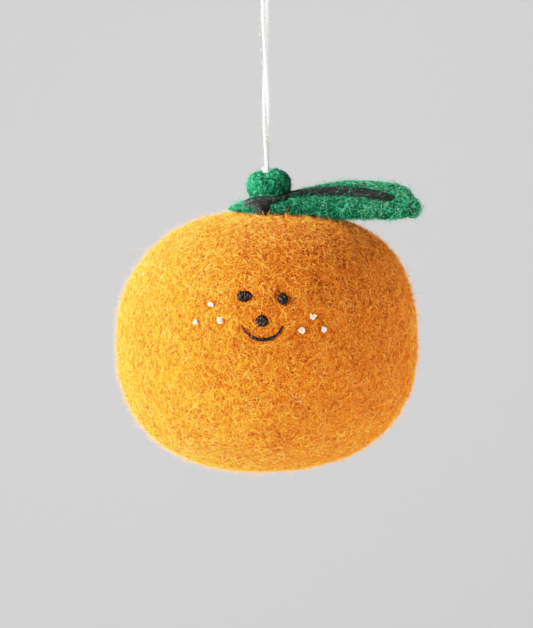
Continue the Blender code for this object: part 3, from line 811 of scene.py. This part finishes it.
def shade_beside_knots(lines):
    """How light each fibre stays: round the cheek knots the wool is darkened, painted shade beside the raised
    knots.
    """
    middle = lines[:, lines.shape[1] // 2]
    light = np.ones(len(lines))
    for x, z in KNOT_STITCHES:
        away = np.hypot(middle[:, 0] - x, middle[:, 2] - z) / (KNOT_STITCH_RADIUS * 1.45)
        light -= 0.75 * np.exp(-(away**4)) * (middle[:, 1] < BALL_CENTRE.y)
    return np.clip(light, 0.0, 1.0)


def matted(skin, number, kind, rng, heading=None):
    """Fibres felted into a skin: their tips dive into it and their middles ride just above it."""
    thickness, length, lift, curl, wander, joints = kind
    lines, ups = laid_lines(skin, number, length, joints, curl, wander, rng, heading)
    middle = np.sin(np.linspace(0.0, math.pi, joints))
    rise = lift * rng.uniform(0.1, 1.0, (number, 1)) * middle + rng.normal(0.0, lift * 0.2, (number, joints))
    rise[:, 0] = -thickness
    rise[:, -1] = -thickness
    return lines + ups * rise[..., None], ups, thickness / 2 * rng.uniform(0.6, 1.35, number)


def patchy_tones(lines, rng, tone=0.48, spread=0.23, patch=0.25, size=0.007):
    """A tone for each line: random, with soft patches of lighter and darker wool."""
    drift = np.array([noise.noise(Vector(line[0]) / size) for line in lines])
    return np.clip(rng.normal(tone, spread, len(lines)) + drift * patch, 0.0, 1.0)


def fluff(skin, number, kind, rng):
    """Loose hairs that stand off a skin."""
    length, thickness, rise, curl, joints = kind
    thickness = wool().hair_thickness * thickness
    spots, outward = skin.scatter(number, rng)
    tangent = square_to(outward, rng.normal(size=(number, 3)))
    directions = unit(outward * rng.uniform(0.2, 1.0, number)[:, None] * rise + tangent)
    lines = free_lines(spots - outward * thickness, directions, length, joints, curl, rng)
    ups = np.repeat(outward[:, None], joints, 1)
    return lines, ups, thickness / 2 * rng.uniform(0.7, 1.3, number)


def green_felt(node, name, material_name, voxel, smoothing, shrink, lumps):
    """Felts a green piece a little inside its solid, which its wool then fills out."""
    felt = solid_copy(node, name)
    shaped(felt, "REMESH", mode="VOXEL", voxel_size=voxel)
    shaped(felt, "SMOOTH", factor=0.5, iterations=smoothing)
    shaped(felt, "DISPLACE", strength=-shrink, mid_level=0.0)
    # The deepest green fills the felt's hollows: painted shade.
    deep = (0.0003, 0.010, 0.004)
    return lumpy(felt, lumps), felt_material(material_name, deep, "green_deep", "green", (0.5, 1.0, 0.7))


class FELT_OT_ball(bpy.types.Operator):
    """Moulds the ball of orange felt, with its flat foot and the dents that the stitches pull"""
    bl_idname = "felt.ball"
    bl_label = "Orange ball"

    def execute(self, context):
        # The deepest orange fills the felt's hollows: painted shade.
        deep = (0.20, 0.035, 0.002)
        felt = felt_material("orange_felt", deep, "orange_deep", "orange", (1.0, 0.75, 0.45))
        dressed(make_ball(), felt, "orange_wool", "felt_body")
        return {"FINISHED"}


class FELT_OT_ball_wool(bpy.types.Operator):
    """Mats the ball's surface with curly orange fibres, in layers, and grows its fluff"""
    bl_idname = "felt.ball_wool"
    bl_label = "Ball's wool"

    def execute(self, context):
        w = wool()
        rng = np.random.default_rng(11)
        skin = Skin(bpy.data.objects["body_felt"])
        material = hair_material("orange_fibres", ORANGE_TONES)
        for layer, (share, thickness, lift, tone, spread, joints) in enumerate(BALL_LAYERS, 1):
            kind = (thickness * w.fibre_thickness, w.fibre_length, lift, LAYER_CURL, LAYER_WANDER, joints)
            laid = matted(skin, int(w.body_fibres * share), kind, rng)
            laid = kept(laid, ~stitched_over(laid[0]))
            # Round the cheek knots the fibres' tones are darkened: painted shade.
            tones = patchy_tones(laid[0], rng, tone, spread) * shade_beside_knots(laid[0])
            fibres_on("body_wool_%d" % layer, laid, tones, material, "orange_wool")
        # The loops that curl over the top take only light tones: painted light on the outermost fibres.
        laid = matted(skin, w.body_loops, BALL_LOOPS, rng)
        laid = kept(laid, ~stitched_over(laid[0]))
        fibres_on("body_loops", laid, rng.uniform(0.60, 1.0, len(laid[0])), material, "orange_wool")
        loose = (
            ("body_fluff", w.body_fluff, BALL_FLUFF),
            ("body_curls", w.body_curls, BALL_CURLS),
            ("body_stray_hairs", w.body_stray_hairs, BALL_STRAY_HAIRS),
        )
        for name, number, kind in loose:
            laid = fluff(skin, number, kind, rng)
            laid = kept(laid, ~(stitched_over(laid[0]) | under_leaf(laid[0])))
            # Loose hairs take the lighter half of the tones: painted light that shines through thin hairs.
            fibres_on(name, laid, rng.uniform(0.5, 0.995, len(laid[0])), material, "orange_wool")
        return {"FINISHED"}


class FELT_OT_leaf(bpy.types.Operator):
    """Felts the thick green leaf over its solid and mats it with curly green fibres"""
    bl_idname = "felt.leaf"
    bl_label = "Leaf"

    def execute(self, context):
        w = wool()
        rng = np.random.default_rng(23)
        leaf, felt = green_felt("felt_leaf", "leaf_felt", "green_felt_leaf", 0.00025, 3, 0.00026, LEAF_LUMPS)
        dressed(leaf, felt, "green_wool_leaf", "felt_leaf")
        skin = Skin(leaf)
        fibres = hair_material("green_leaf_fibres", GREEN_TONES, 0.02, 0.05)
        laid = matted(skin, w.leaf_fibres, LEAF_FIBRES, rng)
        tones = 0.97 * patchy_tones(laid[0], rng, 0.46, 0.36, 0.40, 0.002)
        fibres_on("leaf_wool", laid, tones, fibres, "green_wool_leaf")
        laid = fluff(skin, w.leaf_fluff, LEAF_FLUFF, rng)
        fibres_on("leaf_fluff", laid, rng.uniform(0.1, 1.0, w.leaf_fluff), fibres, "green_wool_leaf")
        lines, ups, radius = matted(skin, w.leaf_curls, LEAF_CURLS, rng)
        share = (lines[:, 0, 0] - CURLS_START) / CURLS_RUN
        front = ups[:, 0, 1] < 0.35
        laid = kept((lines, ups, radius), front & (rng.random(len(lines)) < np.clip(share, 0.04, 1.0)))
        tones = rng.choice((0.94, 0.988, 1.0), len(laid[0]))
        fibres_on("leaf_curls", laid, tones, fibres, "green_wool_leaf")
        return {"FINISHED"}


class FELT_OT_midrib(bpy.types.Operator):
    """Lays the black wool midrib along the leaf, its fibres running lengthwise"""
    bl_idname = "felt.midrib"
    bl_label = "Black midrib"

    def execute(self, context):
        w = wool()
        rng = np.random.default_rng(37)
        rib = solid_copy("leaf_stripe", "midrib_felt")
        shaped(rib, "REMESH", mode="VOXEL", voxel_size=0.0002)
        shaped(rib, "DISPLACE", strength=0.00012, mid_level=0.0)
        shaped(rib, "SMOOTH", factor=0.5, iterations=4)
        felt = felt_material("black_felt", "black", "black", "black_light", (0.8, 0.8, 0.9))
        dressed(rib, felt, "black_wool", "leaf_stripe")
        skin = Skin(rib)

        def lengthwise(spots):
            return np.tile((1.0, 0.0, 0.0), (len(spots), 1))

        laid = matted(skin, w.midrib_fibres, MIDRIB_FIBRES, rng, lengthwise)
        tones = rng.uniform(0.0, 1.0, w.midrib_fibres) ** 2
        fibres_on("midrib_wool", laid, tones, hair_material("black_fibres", BLACK_TONES), "black_wool")
        laid = fluff(skin, w.midrib_hairs, MIDRIB_HAIRS, rng)
        strayed = hair_material("green_hairs_on_midrib", GREEN_TONES, 0.02, 0.05)
        tones = rng.uniform(0.1, 0.96, w.midrib_hairs)
        fibres_on("midrib_green_hairs", laid, tones, strayed, "green_wool_leaf")
        return {"FINISHED"}


class FELT_OT_stem_ball(bpy.types.Operator):
    """Felts the small green ball of two lobes that stands for the stem"""
    bl_idname = "felt.stem_ball"
    bl_label = "Stem ball"

    def execute(self, context):
        w = wool()
        rng = np.random.default_rng(41)
        ball, felt = green_felt("stem_ball", "stem_felt", "green_felt_ball", 0.00022, 4, 0.00034, STEM_LUMPS)
        dressed(ball, felt, "green_wool_ball", "stem_ball")
        skin = Skin(ball)
        fibres = hair_material("green_ball_fibres", GREEN_TONES, 0.02, 0.05)
        laid = matted(skin, w.stem_fibres, STEM_FIBRES, rng)
        tones = 0.98 * patchy_tones(laid[0], rng, 0.50, 0.36, 0.35, 0.0018)
        fibres_on("stem_wool", laid, tones, fibres, "green_wool_ball")
        laid = fluff(skin, w.stem_fluff, STEM_FLUFF, rng)
        fibres_on("stem_fluff", laid, rng.uniform(0.0, 0.9, w.stem_fluff), fibres, "green_wool_ball")
        return {"FINISHED"}


def route_frames(points):
    """Two directions square to a route at each of its points, carried along it without twist."""
    ahead = unit(np.gradient(points, axis=0))
    up = np.cross(ahead[0], (0.31, 0.83, 0.47))
    ups = []
    for direction in ahead:
        up = up - direction * np.dot(up, direction)
        up = up / np.linalg.norm(up)
        ups.append(up)
    ups = np.array(ups)
    return ups, np.cross(ahead, ups)


def evenly(points, step):
    """The route again, as points about a step apart."""
    points = np.array(points, float)
    along = lengths_along(points)
    places = np.linspace(0.0, along[-1], max(3, math.ceil(along[-1] / step) + 1))
    return np.stack([np.interp(places, along, points[:, axis]) for axis in range(3)], 1)


def plied(points, thickness, pitch, plies, rng, sides=6):
    """Thread of twisted plies along a route, as strands: points, triangles, quads and UVs."""
    ups, sideways = route_frames(points)
    along = lengths_along(points)
    ply_radius = thickness * (0.31 if plies == 2 else 0.27)
    offset = thickness / 2 - ply_radius
    lines = []
    for ply in range(plies):
        angle = 2.0 * math.pi * (along / pitch + ply / plies) + rng.uniform(0.0, 0.4)
        around = ups * np.cos(angle)[:, None] + sideways * np.sin(angle)[:, None]
        lines.append(points + around * offset)
    lines = np.array(lines)
    tones = rng.uniform(0.0, 1.0, plies)
    return strands(lines, np.repeat(ups[None], plies, 0), np.full(plies, ply_radius), tones, sides, 0.0)


def joined(parts):
    """Several strands' arrays as one."""
    points = []
    triangles = []
    quads = []
    uvs = []
    total = 0
    for part_points, part_triangles, part_quads, part_uv in parts:
        points.append(part_points)
        triangles.append(part_triangles + total)
        quads.append(part_quads + total)
        uvs.append(part_uv)
        total += len(part_points)
    return np.concatenate(points), np.concatenate(triangles), np.concatenate(quads), np.concatenate(uvs)


def thread_piece(name, parts):
    return new_piece(name, mesh_of(name, *joined(parts)))


def stitch_axes(skin, x, z):
    """Where a stitch sits on the ball, its outward direction, and its sideways and upward ones."""
    middle, outward = skin.front(x, z)
    across = Vector((0.0, 0.0, 1.0)).cross(outward).normalized()
    return middle, outward, across, outward.cross(across)


def satin(skin, x, z, strands_of, floss, reach, height, pitch, rng):
    """Strands of thread laid from hole to hole over a stitch's middle, their ends sunk in the wool."""
    middle, outward, side, top = stitch_axes(skin, x, z)
    parts = []
    for start_across, start_up, end_across, end_up, lift in strands_of:
        start = (side * start_across + top * start_up) * MILLIMETRE
        end = (side * end_across + top * end_up) * MILLIMETRE
        route = []
        for step in np.linspace(-1.0, 1.0, 13):
            place = start.lerp(end, (step + 1.0) / 2.0)
            dome = height * (1.0 - 0.6 * (place.length / reach) ** 2) + lift * MILLIMETRE
            rise = dome * (1.0 - abs(step) ** 3.2) - floss * 0.8 * abs(step) ** 6
            route.append(middle + place + outward * rise)
        parts.append(plied(np.array(route), floss, pitch, 2, rng, 8))
    return parts


def cushion_under(name, skin, x, z, half_width, half_height, height):
    """The low cushion of crossing stitches that fills out a satin stitch from below."""
    middle, outward, side, top = stitch_axes(skin, x, z)
    cushion = added_sphere(name, 28, 16)
    axes = Matrix((side * half_width, top * half_height, outward * height)).transposed().to_4x4()
    cushion.data.transform(Matrix.Translation(middle) @ axes)
    return cushion


def joined_pieces(first, second):
    """Joins the second piece into the first."""
    pick(first)
    second.select_set(True)
    bpy.ops.object.join()
    return first


def ends(skin, x, z, starts, rng):
    """Short loose ends of thread that lie on the wool beside a stitch."""
    lines = []
    ups = []
    radius = []
    for across, up, angle, length, thickness in starts:
        line = []
        for step in np.linspace(0.0, 1.0, 6):
            bend = math.radians(angle + 20.0 * step * rng.uniform(-1.0, 1.0))
            run = length * step
            spot_x = x + (across + math.cos(bend) * run) * MILLIMETRE
            spot_z = z + (up + math.sin(bend) * run) * MILLIMETRE
            place, outward = skin.front(spot_x, spot_z)
            line.append(place + outward * (thickness / 2 + 0.45) * MILLIMETRE)
        lines.append(line)
        ups.append([outward] * 6)
        radius.append(thickness / 2 * MILLIMETRE)
    return strands(np.array(lines), np.array(ups), np.array(radius), rng.uniform(0, 0.5, len(starts)))


class FELT_OT_eyes_and_nose(bpy.types.Operator):
    """Stitches the two eyes and the nose in black satin stitch"""
    bl_idname = "felt.eyes_and_nose"
    bl_label = "Eyes and nose"

    def execute(self, context):
        stitch = context.scene.felt_stitches
        rng = np.random.default_rng(53)
        skin = Skin(bpy.data.objects["body_felt"])
        material = black_floss("black_floss")
        for name, (x, z, half_width, half_height) in SATIN_STITCHES.items():
            parts = satin(skin, x, z, SATIN_STRANDS[name], stitch.floss, half_width, 0.00052, 0.0019, rng)
            if LOOSE_ENDS[name]:
                parts.append(ends(skin, x, z, LOOSE_ENDS[name], rng))
            threads = thread_piece(name + "_satin", parts)
            size = (half_width * 0.76, half_height * 0.76, 0.00032)
            cushion = cushion_under(name + "_cushion", skin, x, z, *size)
            dressed(joined_pieces(threads, cushion), material, "black_thread", name)
        return {"FINISHED"}


class FELT_OT_mouth(bpy.types.Operator):
    """Stitches the smile in five black back stitches"""
    bl_idname = "felt.mouth"
    bl_label = "Mouth"

    def execute(self, context):
        stitch = context.scene.felt_stitches
        rng = np.random.default_rng(61)
        skin = Skin(bpy.data.objects["body_felt"])
        parts = []
        for start, end, fullness in zip(MOUTH_HOLES, MOUTH_HOLES[1:], MOUTH_FULLNESS):
            for strand in (-1.0, 1.0):
                route = []
                for step in np.linspace(0.0, 1.0, 11):
                    x, z = mouth_spot(start + (end - start) * (step * 1.08 - 0.04))
                    place, outward = skin.front(x, z)
                    swell = math.sin(math.pi * step) ** 0.3
                    rise = 0.00036 * swell - 0.00006
                    shift = Vector((0.0, 0.0, strand * 0.00018 * swell * fullness))
                    route.append(place + outward * rise + shift)
                parts.append(plied(np.array(route), stitch.mouth_thread * fullness, 0.0013, 2, rng, 8))
        hairs = []
        for place in rng.uniform(0.02, 0.98, 16):
            x, z = mouth_spot(place)
            turn = rng.uniform(0.0, 360.0)
            hairs.append((x / MILLIMETRE, z / MILLIMETRE, turn, rng.uniform(0.4, 1.0), 0.05))
        parts.append(ends(skin, 0.0, 0.0, hairs, rng))
        threads = thread_piece("mouth_stitches", parts)
        dressed(threads, black_floss("black_back_stitch"), "black_thread", "mouth")
        return {"FINISHED"}


class FELT_OT_cheek_knots(bpy.types.Operator):
    """Ties the six white knot stitches, three on each cheek"""
    bl_idname = "felt.cheek_knots"
    bl_label = "Cheek knots"

    def execute(self, context):
        stitch = context.scene.felt_stitches
        rng = np.random.default_rng(71)
        skin = Skin(bpy.data.objects["body_felt"])
        # The white floss's orange-brown streaks are painted shade, warmed by painted bounce from the orange
        # wool.
        material = thread_material("white_floss", (0.68, 0.43, 0.27), tuple(stitch.white), 4200.0, 0.7, 0.1)
        for number, (x, z) in enumerate(KNOT_STITCHES, 1):
            turns = KNOT_STRANDS[number - 1]
            parts = satin(skin, x, z, turns, stitch.knot_thread, KNOT_STITCH_RADIUS, 0.00042, 0.0010, rng)
            threads = thread_piece("cheek_knot_thread_%d" % number, parts)
            core = cushion_under("knot_core", skin, x, z, 0.00050, 0.00046, 0.00030)
            dressed(joined_pieces(threads, core), material, "white_thread", "cheek_knot_%d" % number)
        return {"FINISHED"}


def string_axis(z):
    share = min(1.0, max(0.0, z / STRING_FOOT.z))
    return Vector((STRING_FOOT.x * share, STRING_FOOT.y * share, z))


def leg_point(z, sign):
    turn = 2.0 * math.pi * (TWIST_TOP - z) / TWIST_PITCH
    return string_axis(z) + Vector((math.cos(turn), math.sin(turn), 0.0)) * LEG_OFFSET * sign


def string_route():
    """Up one leg, round the loop and down the other leg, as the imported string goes."""
    leg = [STRING_FOOT.z + (TWIST_TOP - STRING_FOOT.z) * index / LEG_POINTS for index in range(LEG_POINTS)]
    route = [leg_point(z, 1.0) for z in leg]
    outline = list(LOOP_HALF) + [(-x, z) for x, z in reversed(LOOP_HALF[:-1])]
    for index in range(LOOP_POINTS):
        x, z = smooth_through(outline, index / (LOOP_POINTS - 1))
        route.append(string_axis(z) + Vector((x, 0.0, 0.0)))
    return route + [leg_point(z, -1.0) for z in reversed(leg)]


class FELT_OT_string(bpy.types.Operator):
    """Twists the doubled cotton string, its loop and its loose hairs"""
    bl_idname = "felt.string"
    bl_label = "Cotton string"

    def execute(self, context):
        string = context.scene.felt_string
        rng = np.random.default_rng(83)
        route = [tuple(point) for point in string_route()]
        fine = evenly([smooth_through(route, t) for t in np.linspace(0, 1, 400)], 0.00022)
        parts = [plied(fine, string.diameter, string.ply_pitch, 3, rng, 7)]
        cotton = tuple(string.cotton)
        material = thread_material("cotton_plies", (0.72, 0.69, 0.64), cotton, 2600.0, 0.85, 0.3)
        piece = dressed(thread_piece("cotton_string", parts), material, "cotton_cord", "hanging_cord")
        picked = rng.integers(4, len(fine) - 4, 620)
        spots = fine[picked]
        ahead = unit(fine[picked + 1] - fine[picked - 1])
        outward = square_to(ahead, rng.normal(size=spots.shape))
        leaning = outward * rng.uniform(0.3, 1.0, len(spots))[:, None]
        directions = unit(leaning + ahead * rng.choice((-1, 1), (len(spots), 1)))
        lines = free_lines(spots + outward * string.diameter * 0.42, directions, 0.0011, 5, 0.3, rng)
        ups = np.repeat(outward[:, None], 5, 1)
        radius = np.full(len(lines), 0.000013)
        hairs = hair_material("cotton_hairs", ((0.0, cotton), (1.0, (0.95, 0.93, 0.9))))
        fibres_on("string_hairs", (lines, ups, radius), rng.random(len(lines)), hairs, "cotton_cord")
        knot_material = thread_material("cotton_knot_plies", (0.70, 0.67, 0.62), cotton, 2600.0, 0.85, 0.3)
        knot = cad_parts["cord_knot"]
        knot.data.materials.clear()
        knot.data.materials.append(knot_material)
        return {"FINISHED"}


class FELT_OT_string_tuft(bpy.types.Operator):
    """Spreads the string's frayed cotton over the stem ball where the string goes in"""
    bl_idname = "felt.string_tuft"
    bl_label = "String's frayed foot"

    def execute(self, context):
        rng = np.random.default_rng(97)
        number = 90
        turn = rng.uniform(0.0, 2.0 * math.pi, number)
        outward = np.stack([np.cos(turn), np.sin(turn), np.zeros(number)], 1)
        middle = np.array((STRING_FOOT.x, STRING_FOOT.y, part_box("stem_ball")[1].z))
        spots = middle + outward * 0.00035 + rng.uniform(-0.0006, 0.0005, (number, 1)) * (0.0, 0.0, 1.0)
        directions = unit(outward + (0.0, 0.0, -0.25) + rng.normal(0.0, 0.3, (number, 3)))
        lines = free_lines(spots, directions, 0.00095, 6, 0.25, rng)
        ups = np.repeat(outward[:, None], 6, 1)
        cotton = tuple(context.scene.felt_string.cotton)
        hairs = hair_material("frayed_cotton", ((0.0, cotton), (1.0, (0.95, 0.93, 0.9))))
        radius = rng.uniform(0.000018, 0.00005, number)
        fibres_on("string_frayed_foot", (lines, ups, radius), rng.random(number), hairs, "cotton_cord")
        return {"FINISHED"}


def studio_spot(azimuth, elevation, away):
    """A place round the ball: azimuth 0 is in front of its face and 90 on its right, in degrees."""
    turn = math.radians(azimuth)
    rise = math.radians(elevation)
    towards = Vector((math.sin(turn) * math.cos(rise), -math.cos(turn) * math.cos(rise), math.sin(rise)))
    return BALL_CENTRE + towards * away


def soft_shoulder(view):
    """Rolls the brightest tones off softly, as a camera does."""
    view.view_transform = "Standard"
    view.use_curve_mapping = True
    mapping = view.curve_mapping
    mapping.white_level = (BRIGHTEST, BRIGHTEST, BRIGHTEST)
    curve = mapping.curves[3]
    for level, shown in TONES:
        curve.points.new(level / BRIGHTEST, shown)
    curve.points[0].location = (0.0, 0.0)
    curve.points[len(curve.points) - 1].location = (1.0, WHITEST)
    mapping.update()


def aimed_light(name, place, target, size, watts):
    turn = (Vector(target) - Vector(place)).to_track_quat("-Z", "Y").to_euler()
    bpy.ops.object.light_add(type="AREA", location=place, rotation=turn)
    light = named(name)
    light.data.shape = "RECTANGLE"
    light.data.size = size[0]
    light.data.size_y = size[1]
    light.data.energy = watts
    light.visible_camera = False
    return light


def paper_material(tint):
    material, tree, shader = new_material("seamless_paper")
    place = tree.nodes.new("ShaderNodeTexCoord").outputs["Object"]
    grain = noise_of(tree, place, 900.0, 3.0, (0.0, 0.0, 0.0))
    darker = tuple(value * 0.985 for value in tint)
    tinted(tree, shader, grain, ((0.3, darker), (0.7, tint)))
    set_inputs(shader, Roughness=0.95, Specular_IOR_Level=0.05)
    return material


def make_sweep():
    """The floor, and the paper that curves up from its back edge."""
    bpy.ops.object.select_all(action="DESELECT")
    depth = SWEEP_START - FLOOR_FRONT
    bpy.ops.mesh.primitive_plane_add(size=1.0, location=(0.0, (SWEEP_START + FLOOR_FRONT) / 2, FLOOR_LEVEL))
    sweep = named("paper_sweep")
    sweep.scale = (2.0 * HALF_WIDTH, depth, 1.0)
    bpy.ops.object.transform_apply(location=True, rotation=True, scale=True)
    bpy.ops.object.mode_set(mode="EDIT")
    bpy.ops.mesh.select_mode(type="EDGE")
    bpy.ops.mesh.select_all(action="DESELECT")
    shape = bmesh.from_edit_mesh(sweep.data)
    for edge in shape.edges:
        edge.select_set(all(vertex.co.y > SWEEP_START - 0.001 for vertex in edge.verts))
    bmesh.update_edit_mesh(sweep.data)
    centre = (0.0, SWEEP_START, FLOOR_LEVEL + SWEEP_RADIUS)
    bpy.ops.mesh.spin(steps=24, angle=math.radians(90.0), center=centre, axis=(1.0, 0.0, 0.0))
    rise = WALL_TOP - FLOOR_LEVEL - SWEEP_RADIUS
    bpy.ops.mesh.extrude_region_move(TRANSFORM_OT_translate={"value": (0.0, 0.0, rise)})
    bpy.ops.object.mode_set(mode="OBJECT")
    sweep.data.shade_smooth()
    return sweep


class FELT_OT_studio(bpy.types.Operator):
    """Sets up the pale seamless paper, the soft lights and the camera"""
    bl_idname = "felt.studio"
    bl_label = "Studio"

    def execute(self, context):
        studio = context.scene.felt_studio
        sweep = make_sweep()
        sweep.data.materials.append(paper_material(tuple(studio.paper)))
        middle = tuple(BALL_CENTRE)
        for name, (azimuth, elevation, reach, size, watts) in LIGHTS.items():
            aimed_light(name, studio_spot(azimuth, elevation, reach), middle, size, watts * studio.lights)
        watts = WALL_LIGHT_WATTS * studio.lights
        aimed_light("wall_light", WALL_LIGHT_PLACE, WALL_LIGHT_TARGET, WALL_LIGHT_SIZE, watts)
        world = bpy.data.worlds.new("room")
        world.use_nodes = True
        world.node_tree.nodes["Background"].inputs["Color"].default_value = (1.0, 1.0, 1.0, 1.0)
        world.node_tree.nodes["Background"].inputs["Strength"].default_value = studio.sky
        context.scene.world = world
        away = Vector((0.0, -math.cos(CAMERA_RISE), math.sin(CAMERA_RISE)))
        turn = (-away).to_track_quat("-Z", "Y").to_euler()
        bpy.ops.object.camera_add(location=CAMERA_TARGET + away * CAMERA_DISTANCE, rotation=turn)
        camera = named("photo_camera")
        camera.data.sensor_fit = "AUTO"
        camera.data.sensor_width = SENSOR
        camera.data.lens = SENSOR * CAMERA_DISTANCE / (max(IMAGE_WIDTH, IMAGE_HEIGHT) * METRES_PER_PIXEL)
        camera.data.clip_start = 0.01
        context.scene.camera = camera
        soft_shoulder(context.scene.view_settings)
        return {"FINISHED"}


class FELT_PT_fruit(bpy.types.Panel):
    """Lists the felted mandarin's pieces and its settings"""
    bl_label = "Felt Fruit"
    bl_idname = "FELT_PT_fruit"
    bl_space_type = "VIEW_3D"
    bl_region_type = "UI"
    bl_category = "Felt Fruit"

    def draw(self, context):
        layout = self.layout
        for operator in OPERATORS:
            layout.operator(operator.bl_idname)
        for group in SETTINGS:
            settings = getattr(context.scene, group)
            box = layout.box()
            for name in settings.__annotations__:
                box.prop(settings, name)


OPERATORS = (
    FELT_OT_studio,
    FELT_OT_ball,
    FELT_OT_string,
    FELT_OT_leaf,
    FELT_OT_midrib,
    FELT_OT_stem_ball,
    FELT_OT_string_tuft,
    FELT_OT_eyes_and_nose,
    FELT_OT_mouth,
    FELT_OT_cheek_knots,
    FELT_OT_ball_wool,
)
SETTINGS = {
    "felt_wool": WoolSettings,
    "felt_stitches": StitchSettings,
    "felt_string": StringSettings,
    "felt_studio": StudioSettings,
}


def register():
    for group in (*SETTINGS.values(), *OPERATORS, FELT_PT_fruit):
        bpy.utils.register_class(group)
    for name, group in SETTINGS.items():
        setattr(bpy.types.Scene, name, PointerProperty(type=group))


def unregister():
    for name in SETTINGS:
        delattr(bpy.types.Scene, name)
    for group in reversed((*SETTINGS.values(), *OPERATORS, FELT_PT_fruit)):
        bpy.utils.unregister_class(group)


def main():
    register()
    bpy.ops.felt.studio()
    bpy.ops.felt.ball()
    bpy.ops.felt.string()
    bpy.ops.felt.leaf()
    bpy.ops.felt.midrib()
    bpy.ops.felt.stem_ball()
    bpy.ops.felt.string_tuft()
    bpy.ops.felt.eyes_and_nose()
    bpy.ops.felt.mouth()
    bpy.ops.felt.cheek_knots()
    bpy.ops.felt.ball_wool()


if __name__ == "__main__":
    main()
